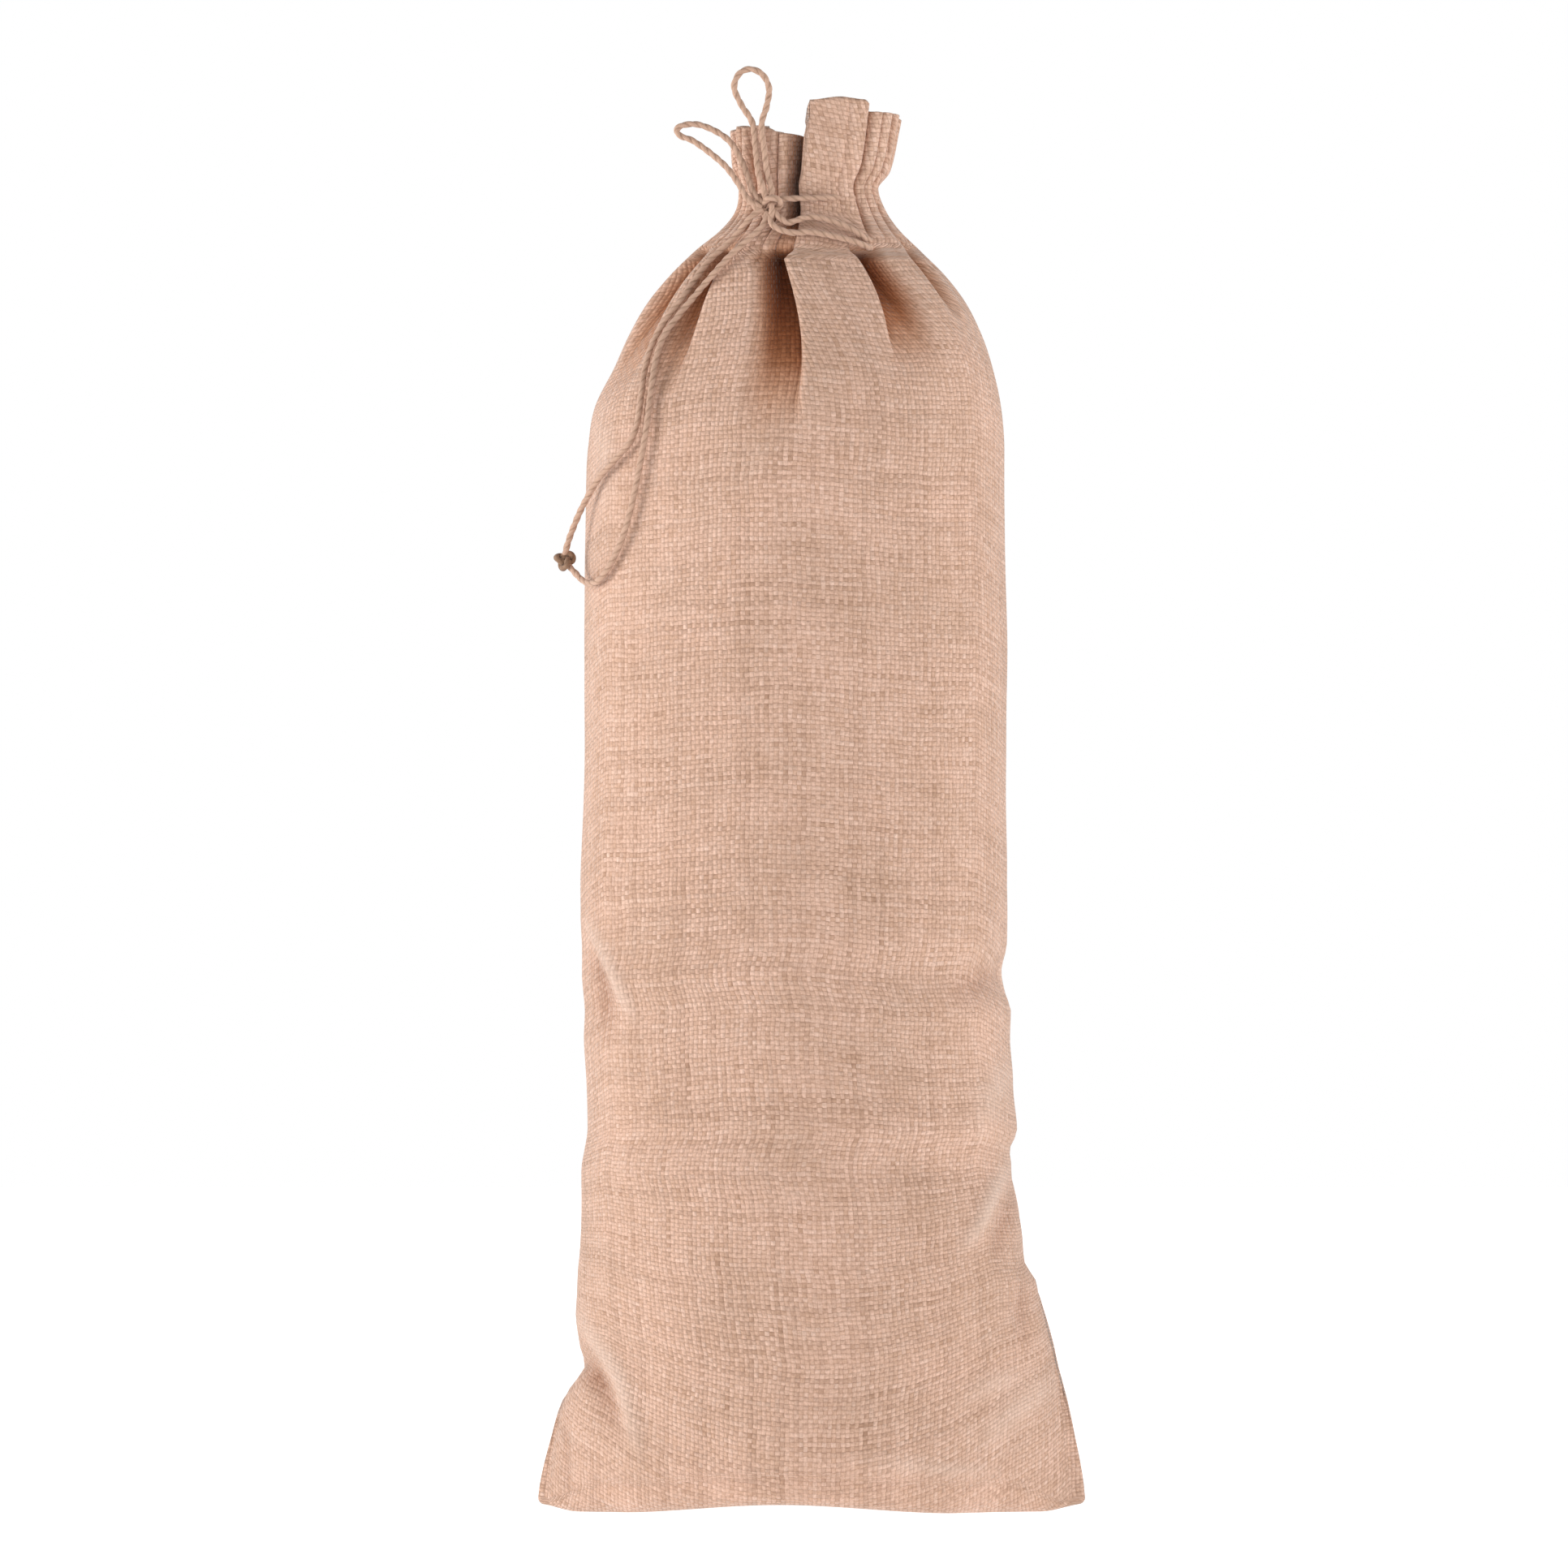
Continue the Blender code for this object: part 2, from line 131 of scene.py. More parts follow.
# One row a level section: left and right edge, half depth, flat ear widths and fullness
Section = namedtuple("Section", "height left right depth ear_left ear_right fullness")
SECTIONS = (
    Section(0.0, -67.4, 67.7, 34.0, 10.5, 15.0, 0.62),
    Section(6.0, -67.4, 67.7, 36.2, 9.8, 14.3, 0.60),
    Section(12.0, -67.4, 67.7, 37.4, 9.0, 13.5, 0.58),
    Section(22.0, -65.2, 66.2, 38.4, 7.0, 11.8, 0.55),
    Section(28.6, -62.9, 64.5, 38.4, 5.0, 10.4, 0.54),
    Section(33.0, -60.2, 63.1, 38.4, 2.8, 9.2, 0.53),
    Section(37.0, -57.9, 61.7, 38.4, 1.0, 8.0, 0.52),
    Section(44.0, -57.5, 59.9, 38.4, 0.0, 6.0, 0.52),
    Section(53.0, -57.8, 57.2, 38.4, 0.0, 3.6, 0.51),
    Section(57.6, -57.5, 55.8, 38.4, 0.0, 2.0, 0.50),
    Section(61.0, -57.3, 52.9, 38.4, 0.0, 0.0, 0.50),
    Section(69.0, -56.8, 51.9, 38.4, 0.0, 0.0, 0.50),
    Section(77.0, -56.6, 50.8, 38.4, 0.0, 0.0, 0.50),
    Section(85.0, -56.6, 48.6, 38.2, 0.0, 0.0, 0.50),
    Section(89.6, -55.8, 48.6, 38.2, 0.0, 0.0, 0.50),
    Section(94.5, -55.0, 50.6, 38.4, 0.0, 0.0, 0.50),
    Section(105.0, -55.2, 49.6, 38.4, 0.0, 0.0, 0.50),
    Section(117.0, -55.9, 49.0, 38.4, 0.0, 0.0, 0.50),
    Section(124.0, -55.6, 49.2, 38.4, 0.0, 0.0, 0.50),
    Section(133.0, -56.4, 46.0, 38.2, 0.0, 0.0, 0.50),
    Section(141.0, -56.4, 48.2, 38.4, 0.0, 0.0, 0.50),
    Section(157.0, -56.7, 48.4, 38.4, 0.0, 0.0, 0.50),
    Section(181.0, -55.8, 48.0, 38.4, 0.0, 0.0, 0.50),
    Section(214.0, -56.0, 48.1, 38.4, 0.0, 0.0, 0.50),
    Section(250.0, -55.6, 47.4, 38.4, 0.0, 0.0, 0.50),
    Section(264.0, -55.0, 47.5, 38.2, 0.0, 0.0, 0.50),
    Section(274.0, -53.2, 46.6, 37.0, 0.0, 0.0, 0.50),
    Section(283.0, -48.8, 44.6, 34.8, 0.0, 0.0, 0.50),
    Section(291.0, -45.2, 42.0, 32.0, 0.0, 0.0, 0.50),
    Section(299.0, -40.6, 38.2, 28.6, 0.0, 0.0, 0.50),
    Section(306.0, -34.9, 32.9, 25.0, 0.0, 0.0, 0.50),
    Section(312.0, -28.6, 27.0, 21.4, 0.0, 0.0, 0.50),
    Section(317.0, -22.4, 22.0, 18.2, 0.0, 0.0, 0.50),
    Section(322.0, -18.6, 18.6, 15.8, 0.0, 0.0, 0.50),
    Section(328.0, -17.8, 16.6, 15.2, 0.0, 0.0, 0.50),
    Section(334.0, -19.2, 19.6, 16.4, 0.0, 0.0, 0.50),
    Section(350.0, -19.8, 22.2, 17.8, 0.0, 0.0, 0.50),
)

# One row a fold: its places across the panel on the shoulder, at the casing and in the neck, how
# far its slopes reach as shares of the panel's width, its depth, its lowest and highest height,
# and how far its right lip (its left lip where negative) hangs over it
Fold = namedtuple("Fold", "low middle high left right depth foot top hang")
FRONT_FOLDS = (
    Fold(0.105, 0.100, 0.095, 0.060, 0.055, 6.4, 272.0, 360.0, 0.0),
    Fold(0.255, 0.245, 0.232, 0.075, 0.020, 6.8, 272.0, 360.0, 1.4),
    Fold(0.350, 0.345, 0.345, 0.022, 0.022, 4.6, 306.0, 360.0, 0.0),
    Fold(0.500, 0.455, 0.452, 0.118, 0.014, 10.5, 263.0, 360.0, 3.0),
    Fold(0.682, 0.635, 0.640, 0.016, 0.115, 9.0, 280.0, 311.0, -2.4),
    Fold(0.750, 0.725, 0.735, 0.030, 0.036, 6.6, 311.0, 360.0, 0.0),
    Fold(0.870, 0.872, 0.875, 0.040, 0.040, 6.0, 292.0, 360.0, 0.0),
)
BACK_FOLDS = (
    Fold(0.110, 0.105, 0.100, 0.040, 0.045, 6.2, 288.0, 360.0, 0.0),
    Fold(0.240, 0.243, 0.245, 0.040, 0.040, 7.0, 276.0, 360.0, 0.0),
    Fold(0.400, 0.392, 0.385, 0.045, 0.035, 7.2, 266.0, 360.0, 1.2),
    Fold(0.540, 0.548, 0.555, 0.040, 0.040, 6.6, 286.0, 360.0, 0.0),
    Fold(0.720, 0.717, 0.715, 0.035, 0.045, 7.2, 270.0, 360.0, -1.2),
    Fold(0.880, 0.877, 0.875, 0.040, 0.040, 6.0, 290.0, 360.0, 0.0),
)

# Small pleats beside the main folds: place, half width, depth and lowest height
Pleat = namedtuple("Pleat", "place width depth foot")
FRONT_PLEATS = (
    Pleat(0.020, 0.014, 0.9, 300.0),
    Pleat(0.155, 0.016, 1.0, 296.0),
    Pleat(0.285, 0.014, 1.1, 298.0),
    Pleat(0.385, 0.014, 1.3, 300.0),
    Pleat(0.640, 0.020, 0.4, 318.0),
    Pleat(0.800, 0.016, 1.0, 304.0),
    Pleat(0.930, 0.018, 1.1, 292.0),
)
BACK_PLEATS = (
    Pleat(0.040, 0.016, 1.0, 296.0),
    Pleat(0.175, 0.016, 1.1, 292.0),
    Pleat(0.315, 0.018, 1.0, 288.0),
    Pleat(0.470, 0.018, 1.2, 290.0),
    Pleat(0.630, 0.018, 1.0, 286.0),
    Pleat(0.800, 0.016, 1.1, 294.0),
    Pleat(0.950, 0.016, 1.0, 297.0),
)

# Height of the heading's upper edge across each panel
Edge = namedtuple("Edge", "place height")
FRONT_EDGE = (
    Edge(0.00, 341.5), Edge(0.14, 342.5), Edge(0.26, 343.0), Edge(0.37, 341.0),
    Edge(0.455, 340.0), Edge(0.475, 349.2), Edge(0.60, 350.0), Edge(0.70, 349.4),
    Edge(0.75, 346.4), Edge(0.88, 346.2), Edge(1.00, 343.8),
)
BACK_EDGE = (
    Edge(0.00, 341.5), Edge(0.16, 343.6), Edge(0.32, 341.2), Edge(0.46, 339.6),
    Edge(0.60, 341.4), Edge(0.78, 344.6), Edge(0.90, 343.2), Edge(1.00, 343.8),
)

# Soft creases on the panels, as lines of (x, z) with a width and a height out of the cloth
Crease = namedtuple("Crease", "line width height")
FRONT_CREASES = (
    Crease(((-54.5, 147.0), (-48.5, 134.0), (-43.0, 122.0)), 1.5, 1.3),
    Crease(((-53.6, 140.0), (-50.8, 130.0), (-49.6, 119.0)), 2.6, -1.3),
    Crease(((-58.0, 50.0), (-47.0, 34.0), (-42.0, 17.0)), 1.9, 1.3),
    Crease(((-56.0, 41.0), (-51.5, 32.0), (-47.0, 22.0)), 2.6, -1.4),
    Crease(((-60.5, 27.0), (-60.0, 16.0), (-60.5, 6.0)), 1.1, -0.6),
    Crease(((-58.0, 37.0), (-54.5, 34.8), (-51.5, 31.5)), 1.3, -1.2),
    Crease(((12.2, 14.6), (26.0, 14.4), (46.0, 12.6)), 1.2, 0.9),
    Crease(((48.6, 87.0), (45.0, 82.0), (41.0, 72.0), (37.0, 66.0)), 1.7, 1.4),
    Crease(((50.5, 80.0), (47.5, 72.0), (45.0, 63.0)), 2.4, -1.1),
    Crease(((49.0, 112.0), (44.0, 104.0), (41.5, 95.0)), 3.4, 0.8),
    Crease(((46.0, 134.0), (40.0, 130.0), (34.0, 129.0)), 3.0, -0.9),
    Crease(((38.0, 30.0), (45.0, 33.0), (52.0, 35.0)), 2.4, 0.7),
    Crease(((40.0, 18.0), (50.0, 27.0), (60.0, 35.0)), 2.6, 0.8),
    Crease(((52.5, 60.0), (51.6, 50.0), (52.0, 40.0)), 2.2, -0.8),
    Crease(((-52.0, 272.0), (-50.0, 262.0), (-51.0, 248.0)), 2.4, 0.7),
)
BACK_CREASES = (
    Crease(((50.0, 140.0), (43.0, 128.0), (36.0, 120.0)), 3.0, 1.0),
    Crease(((-56.0, 60.0), (-46.0, 46.0), (-40.0, 24.0)), 3.2, 1.2),
    Crease(((48.0, 84.0), (40.0, 74.0), (34.0, 58.0)), 3.2, 1.1),
    Crease(((-52.0, 128.0), (-44.0, 118.0), (-36.0, 114.0)), 3.2, -1.0),
    Crease(((-54.0, 262.0), (-46.0, 252.0), (-36.0, 250.0)), 3.6, 0.8),
)
CREASE_REACH = 3.0
CREASE_END_SHARE = 0.08

# The small notch above the left ear, and the cloth's slack
NOTCH_HEIGHT = 36.6
NOTCH_DEPTH = 2.1
NOTCH_SPAN = 3.0
NOTCH_REACH = 14.0
UNEVEN_SCALE = 34.0
UNEVEN_TALL = 1.6
UNEVEN_FINE = (0.4, 0.5)
UNEVEN_FINE_SHARE = 0.35
UNEVEN_FINE_PLACE = 5.0
UNEVEN_HEIGHT = 0.55
FRONT_SEED = 1.0
BACK_SEED = 2.0

# Routes of the twine. They follow the part's tubes, run on into the knots, and the neck's twine
# runs inside the casing at the sides and the back
NECK_TWINE = (
    (-9.8, -18.4, 323.6), (-7.4, -18.0, 324.6), (-4.0, -17.8, 324.8), (-1.0, -17.6, 324.9),
    (2.0, -17.0, 325.0), (5.2, -15.2, 325.1), (8.5, -12.2, 325.2), (12.0, -9.4, 325.2),
    (14.6, -4.6, 325.3), (15.2, 1.0, 325.4), (13.6, 6.6, 325.3), (9.4, 11.0, 325.2),
    (3.0, 13.2, 325.0), (-4.0, 13.2, 325.0), (-10.4, 10.8, 324.8), (-14.6, 6.0, 324.6),
    (-15.9, 0.0, 324.4), (-14.8, -6.0, 324.1), (-13.4, -10.6, 323.8), (-12.6, -14.4, 323.5),
    (-11.6, -17.6, 323.2),
)
UPPER_STRAND = (
    (-9.4, -19.0, 321.6), (-7.0, -20.4, 319.4), (-5.4, -20.4, 318.8), (0.1, -20.0, 320.2),
    (6.3, -19.9, 318.8), (10.6, -19.6, 316.8), (13.4, -17.9, 315.0), (15.2, -14.2, 314.2),
)
LOWER_STRAND = (
    (-10.6, -19.0, 321.0), (-9.2, -21.0, 317.9), (-5.0, -21.4, 316.3), (0.1, -21.8, 316.4),
    (6.5, -21.6, 315.2), (11.0, -20.9, 314.0), (13.8, -18.6, 312.9), (15.4, -14.4, 312.4),
)
LOOP_UP = (
    (-11.2, -18.8, 324.2), (-11.8, -19.2, 327.4), (-13.1, -18.0, 331.2), (-13.7, -17.0, 337.0),
    (-14.5, -16.6, 343.4), (-17.2, -16.4, 347.9), (-19.0, -16.4, 352.2), (-17.8, -16.4, 355.6),
    (-15.0, -16.4, 356.8), (-12.0, -16.4, 355.4), (-10.4, -16.6, 352.0), (-11.0, -16.8, 347.6),
    (-12.2, -17.0, 343.2), (-11.6, -17.4, 337.0), (-10.9, -18.0, 331.2), (-9.8, -19.0, 327.2),
    (-10.2, -18.8, 324.2),
)
LOOP_LEFT = (
    (-12.2, -18.6, 322.6), (-15.4, -19.0, 324.4), (-17.8, -18.0, 328.2), (-20.8, -16.6, 332.4),
    (-24.8, -15.2, 336.0), (-29.3, -14.2, 339.2), (-32.0, -13.9, 340.2), (-33.2, -13.8, 341.6),
    (-32.0, -13.8, 342.9), (-28.1, -14.0, 343.2), (-23.4, -14.4, 341.4), (-19.8, -15.0, 338.6),
    (-17.2, -15.8, 334.2), (-15.6, -17.0, 330.2), (-14.3, -18.2, 326.4), (-12.2, -18.4, 323.8),
)
TAIL_LEFT = (
    (-12.0, -18.7, 322.2), (-14.8, -18.9, 320.2), (-19.2, -17.2, 315.0), (-25.0, -17.0, 309.7),
    (-28.5, -18.0, 305.1), (-32.1, -20.1, 299.8), (-35.9, -20.8, 294.8), (-39.0, -21.6, 289.2),
    (-40.9, -22.9, 283.1), (-41.8, -25.5, 277.0), (-42.7, -27.1, 270.0), (-44.6, -26.8, 264.6),
    (-48.4, -23.4, 260.2), (-52.6, -18.6, 255.4), (-56.4, -13.0, 249.0), (-58.9, -10.0, 243.4),
    (-60.3, -8.2, 239.4), (-60.9, -7.4, 237.0),
)
TAIL_RIGHT = (
    (-10.8, -18.8, 321.4), (-12.0, -20.0, 318.0), (-16.0, -20.6, 314.2), (-19.6, -20.7, 311.0),
    (-23.3, -21.3, 307.0), (-27.6, -21.0, 302.0), (-32.6, -21.9, 296.0), (-36.2, -23.0, 290.9),
    (-38.2, -24.4, 285.3), (-39.5, -27.4, 277.3), (-40.6, -29.6, 268.0), (-42.2, -29.1, 258.8),
    (-43.6, -28.2, 251.8), (-44.9, -27.2, 246.3), (-46.4, -25.8, 241.3), (-48.2, -23.8, 237.0),
    (-50.4, -21.2, 233.0), (-52.6, -18.2, 230.4), (-54.8, -14.4, 229.8), (-56.8, -10.8, 230.8),
    (-58.7, -8.4, 232.8), (-60.2, -7.4, 234.4),
)
ROUTE_STEPS = 14
BOW_KNOT_CENTRE = (-10.8, -18.4, 322.8)
END_KNOT_CENTRE = (-61.0, -7.0, 235.6)
BOW_KNOT_SCALE = 1.16
END_KNOT_SCALE = 0.72
KNOT_POINTS = 90
KNOT_RISE = 1.15
BOW_KNOT_TILT = (0.35, 1.0, 0.2)
END_KNOT_TILT = (0.2, 1.0, -0.5)

# Weave: how far apart its threads lie and how they wander
WEAVE_PITCH = 1.15
WANDER = 1.3
WANDER_SCALE = 0.11
SWAY = 1.6
SWAY_SCALE = 0.09
WARP_SLUB_STRETCH = 0.16
WARP_SLUB_SCALE = 0.83
WEFT_SLUB_STRETCH = 0.13
WEFT_SLUB_SCALE = 0.79
WARP_TONE_STRETCH = 0.012
WEFT_TONE_STRETCH = 0.02
TONE_SCALE = 0.9
THREAD_CROWN = 0.5
SLUB_FLOOR = 0.5
FIBRE_SCALE = 2.6
FIBRE_DETAIL = 4.0
PATCH_SCALE = 0.045
PATCH_DETAIL = 3.0
SPECK_SCALE = 0.95
SPECK_DETAIL = 1.0

# Places along the noise's third axis, which keep the noises apart
SWAY_PLACE = 7.0
WARP_SLUB_PLACE = 1.0
WEFT_SLUB_PLACE = 9.0
WARP_TONE_PLACE = 4.0
WEFT_TONE_PLACE = 14.0
TWINE_FIBRE_PLACE = 2.0

# Colours of the cloth: of its threads, and what patches, yarns, gaps, specks and fibres multiply
# them by
THREAD_COLOURS = (
    (0.18, (0.44, 0.27, 0.188, 1.0)),
    (0.32, (0.59, 0.385, 0.285, 1.0)),
    (0.50, (0.665, 0.447, 0.347, 1.0)),
    (0.75, (0.735, 0.522, 0.425, 1.0)),
)
PATCH_TINTS = ((0.3, (0.93, 0.92, 0.90, 1.0)), (0.7, (1.06, 1.05, 1.05, 1.0)))
YARN_TINTS = ((0.36, (0.86, 0.84, 0.82, 1.0)), (0.50, (1.03, 1.03, 1.03, 1.0)))
GAP_TINTS = ((0.0, (0.56, 0.47, 0.41, 1.0)), (0.45, (1.0, 1.0, 1.0, 1.0)))
GAP_SHARE = 0.6
SPECK_TINTS = ((0.36, (0.90, 0.88, 0.86, 1.0)), (0.62, (1.06, 1.06, 1.06, 1.0)))
FIBRE_TINTS = ((0.3, (0.88, 0.86, 0.84, 1.0)), (0.7, (1.09, 1.09, 1.09, 1.0)))
# Painted shade for the folds: the deeper the fold, the darker and browner the cloth
FOLD_SHADE_TINTS = (
    (0.0, (1.0, 1.0, 1.0, 1.0)),
    (0.25, (0.88, 0.74, 0.63, 1.0)),
    (0.5, (0.64, 0.40, 0.25, 1.0)),
    (0.75, (0.48, 0.25, 0.13, 1.0)),
    (1.0, (0.28, 0.125, 0.06, 1.0)),
)
# Painted shade in pressed creases and hollows, such as the notch above the left ear
HOLLOW_SHADE_TINT = (0.40, 0.20, 0.10, 1.0)
HOLLOW_SHADE_SHARE = 0.26
# A painted highlight on raised creases, lighter the higher the crease stands
CREASE_HIGHLIGHT_COLOUR = (0.72, 0.56, 0.47, 1.0)
CREASE_HIGHLIGHT_SHARE = 0.42

# Surface of the cloth
CLOTH_BUMP = 0.7
CLOTH_BUMP_DEPTH = 0.35
CLOTH_GRAIN = 0.35
CLOTH_ROUGHNESS = 0.84
CLOTH_ROUGHNESS_RANGE = 0.12
CLOTH_SURFACE = {
    "Specular IOR Level": 0.22,
    "Sheen Weight": 0.52,
    "Sheen Roughness": 0.3,
    "Sheen Tint": (1.0, 0.93, 0.88, 1.0),
}

# Colours and surface of the twine
TWINE_LIGHT = (0.65, 0.43, 0.32, 1.0)
TWINE_DARK = (0.42, 0.262, 0.185, 1.0)
# The end knot's twine, painted darker as painted shade for the knot's own shadows
SHADED_KNOT_LIGHT = (0.40, 0.25, 0.165, 1.0)
SHADED_KNOT_DARK = (0.19, 0.105, 0.062, 1.0)
# Painted shade in the grooves between the plies, where the twine is thinnest
GROOVE_SHADE_TINTS = ((0.74, (0.5, 0.45, 0.4, 1.0)), (0.92, (1.0, 1.0, 1.0, 1.0)))
TWINE_TONES = (0.3, 0.7)
TWINE_FIBRES = 26.0
TWINE_FIBRE_STRETCH = 0.25
TWINE_FIBRE_DETAIL = 4.0
TWINE_FIBRE_SHARE = 0.6
TWINE_SPECK_SCALE = 900.0
TWINE_SPECK_DETAIL = 3.0
TWINE_SPECK_SHARE = 0.4
TWINE_BUMP = 0.5
TWINE_BUMP_DEPTH = 0.12
TWINE_SURFACE = {"Roughness": 0.88, "Specular IOR Level": 0.2, "Sheen Weight": 0.2}

# Stage and lights, in metres and watts
WORLD_STRENGTH = 1.0
SKY_STOPS = ((0.12, (1.0, 1.0, 1.0, 1.0)), (0.75, (0.35, 0.35, 0.35, 1.0)))
FLOOR_HALF = 4.0
FLOOR_SURFACE = {
    "Base Color": (0.3, 0.3, 0.3, 1.0),
    "Roughness": 0.9,
    "Emission Color": (1.0, 1.0, 1.0, 1.0),
    "Emission Strength": 1.0,
}
LIGHT_TARGET = (0.0, 0.0, 0.18)
LIGHT_SIZE = 0.8
LIGHT_COLOUR = (1.0, 0.99, 0.98)
LEFT_LIGHT = ((-1.5, -0.3, 0.35), 14.5)
RIGHT_LIGHT = ((1.5, -0.3, 0.35), 9.0)


def mix(start, end, share):
    """The value a share of the way from start to end."""
    return start + (end - start) * share


def ease(value):
    """A soft step from 0 to 1."""
    value = min(1.0, max(0.0, value))
    return value * value * (3.0 - 2.0 * value)


def curve_value(p0, p1, p2, p3, t):
    """A smooth curve's value between p1 and p2."""
    pull = (p2 - p0) * t + (2 * p0 - 5 * p1 + 4 * p2 - p3) * t ** 2
    return p1 + (pull + (3 * p1 - p0 - 3 * p2 + p3) * t ** 3) / 2


def section_at(height):
    """The section at any height, smoothly between the table's rows."""
    heights = [section.height for section in SECTIONS]
    index = min(max(1, bisect_right(heights, height)), len(SECTIONS) - 1)
    low, high = SECTIONS[index - 1], SECTIONS[index]
    before = SECTIONS[max(0, index - 2)]
    after = SECTIONS[min(len(SECTIONS) - 1, index + 1)]
    run = high.height - low.height
    t = min(1.0, max(0.0, (height - low.height) / run))
    values = []
    for a, b, c, d in zip(before, low, high, after):
        fall = (c - a) / (high.height - before.height)
        rise = (d - b) / (after.height - low.height)
        if (c - b) * fall <= 0:
            fall = 0.0
        if (c - b) * rise <= 0:
            rise = 0.0
        start = (2 * t ** 3 - 3 * t ** 2 + 1) * b + (t ** 3 - 2 * t ** 2 + t) * run * fall
        end = (3 * t ** 2 - 2 * t ** 3) * c + (t ** 3 - t ** 2) * run * rise
        values.append(start + end)
    return Section(height, *values[1:])


def half_depth(section, x):
    """How far the panel stands out from the seam plane at x in a section."""
    half_width = (section.right - section.left) / 2
    across = min(1.0, abs(x - section.left - half_width) / half_width)
    body_left = section.left + EAR_FLAT_SHARE * section.ear_left
    body_right = section.right - EAR_FLAT_SHARE * section.ear_right
    body_half = (body_right - body_left) / 2
    middle = body_left + body_half
    inside = min(1.0, abs(x - middle) / body_half)
    ear_width = section.ear_left if x < middle else section.ear_right
    fullness = section.fullness + EAR_SOFTNESS * ear_width
    ear = EAR_HALF_DEPTH * sqrt(1.0 - across ** EAR_EDGE_POWER)
    body = (section.depth - EAR_HALF_DEPTH) * (1.0 - inside ** 2) ** fullness
    return ear + body


def stand_off(ear_width):
    """How far the panel's middle surface stands off the seam plane beside a seam."""
    return mix(RIM_STAND_OFF, EAR_STAND_OFF, ease(ear_width / EAR_FULL_WIDTH))


def outline(section):
    """Points of a section's half, close together, from the left seam to the right one."""
    centre = (section.left + section.right) / 2
    half_width = (section.right - section.left) / 2
    left_gap, right_gap = stand_off(section.ear_left), stand_off(section.ear_right)
    points = []
    for index in range(OUTLINE_POINTS + 1):
        share = index / OUTLINE_POINTS
        x = centre + half_width * sin(pi * (share - 0.5))
        points.append((x, mix(left_gap, right_gap, share) + half_depth(section, x)))
    return points


def place_columns(points, shares):
    """Each share's place along the points, with the outward direction there."""
    lengths = [0.0]
    for start, end in zip(points, points[1:]):
        lengths.append(lengths[-1] + hypot(end[0] - start[0], end[1] - start[1]))
    placed = []
    for share in shares:
        target = share * lengths[-1]
        index = min(max(1, bisect_right(lengths, target)), len(points) - 1)
        before, after = points[index - 1], points[index]
        run = lengths[index] - lengths[index - 1]
        along = (target - lengths[index - 1]) / run
        step = (after[0] - before[0], after[1] - before[1])
        size = hypot(*step)
        outward = (-step[1] / size, step[0] / size)
        placed.append((mix(before[0], after[0], along), mix(before[1], after[1], along), outward))
    return placed


def fold_place(fold, height):
    """A fold's place across the panel at a height."""
    rise = min(1.0, max(0.0, (height - FOLD_DRIFT_START) / (CASING_HEIGHT - FOLD_DRIFT_START)))
    place = mix(fold.low, fold.middle, rise ** 3)
    return mix(place, fold.high, ease((height - CASING_HEIGHT) / (NECK_HEIGHT - CASING_HEIGHT)))


def fold_strength(fold, height):
    """How deep a fold is at a height, as a share of its depth."""
    full = max(FOLD_FULL_HEIGHT, fold.foot + FOLD_LEAST_RUN)
    strength = ease((height - fold.foot) / (full - fold.foot))
    strength *= 1.0 - ease((height - fold.top) / CASING_LIP)
    fading = ease((height - HEADING_BASE) / (SECTIONS[-1].height - HEADING_BASE))
    strength *= mix(1.0, HEADING_FOLD_SHARE, fading)
    return strength * (1.0 - CASING_BRIDGE * casing_cover(height))


def column_shares(folds, height):
    """The columns' places across the panel, drawn along with the folds as those drift."""
    starts = [0.0] + [fold.low for fold in folds] + [1.0]
    ends = [0.0] + [fold_place(fold, height) for fold in folds] + [1.0]
    shares = []
    for index in range(COLUMNS + 1):
        share = index / COLUMNS
        place = min(max(1, bisect_right(starts, share)), len(starts) - 1)
        along = (share - starts[place - 1]) / (starts[place] - starts[place - 1])
        shares.append(mix(ends[place - 1], ends[place], along))
    return shares


def casing_cover(height):
    """How fully the casing bridges the folds at a height."""
    above = height - CASING_HEIGHT
    return ease(above / CASING_LIP) * (1.0 - ease((above - CASING_FLAT) / CASING_RISE))


def fold_dip(folds, pleats, share, height):
    """How deep the folds and small pleats press the cloth in at a place."""
    dip = 0.0
    narrow = mix(1.0, NECK_REACH_SHARE, ease((height - CASING_HEIGHT) / (NECK_HEIGHT - CASING_HEIGHT)))
    for fold in folds:
        offset = share - fold_place(fold, height)
        reach = (fold.left if offset < 0 else fold.right) * narrow
        if abs(offset) < reach:
            slope = abs(offset) / reach
            flat = (slope - FOLD_FLOOR) / (1.0 - FOLD_FLOOR)
            rise = ease(flat) if reach > WIDE_REACH else sin(pi / 2 * slope)
            dip += fold.depth * fold_strength(fold, height) * (1.0 - rise)
    for pleat in pleats:
        offset = abs(share - pleat.place) / pleat.width
        if offset < 1.0:
            strength = ease((height - pleat.foot) / (NECK_HEIGHT - pleat.foot))
            dip += pleat.depth * strength * (0.5 + 0.5 * cos(pi * offset))
    return dip


def lip_shift(folds, share, height):
    """How far the folds' overhanging lips pull the cloth along the panel, to the right."""
    shift = 0.0
    for fold in folds:
        side = 1.0 if fold.hang > 0 else -1.0
        offset = (share - fold_place(fold, height)) * side
        reach = fold.right if side > 0 else fold.left
        if 0 < offset < LIP_REACH:
            strength = fold_strength(fold, height) * (1.0 - ease((height - CASING_HEIGHT) / CASING_LIP))
            if offset < reach:
                strength *= offset / reach
            else:
                strength *= 1.0 - ease((offset - reach) / (LIP_REACH - reach))
            shift -= fold.hang * strength
    return shift


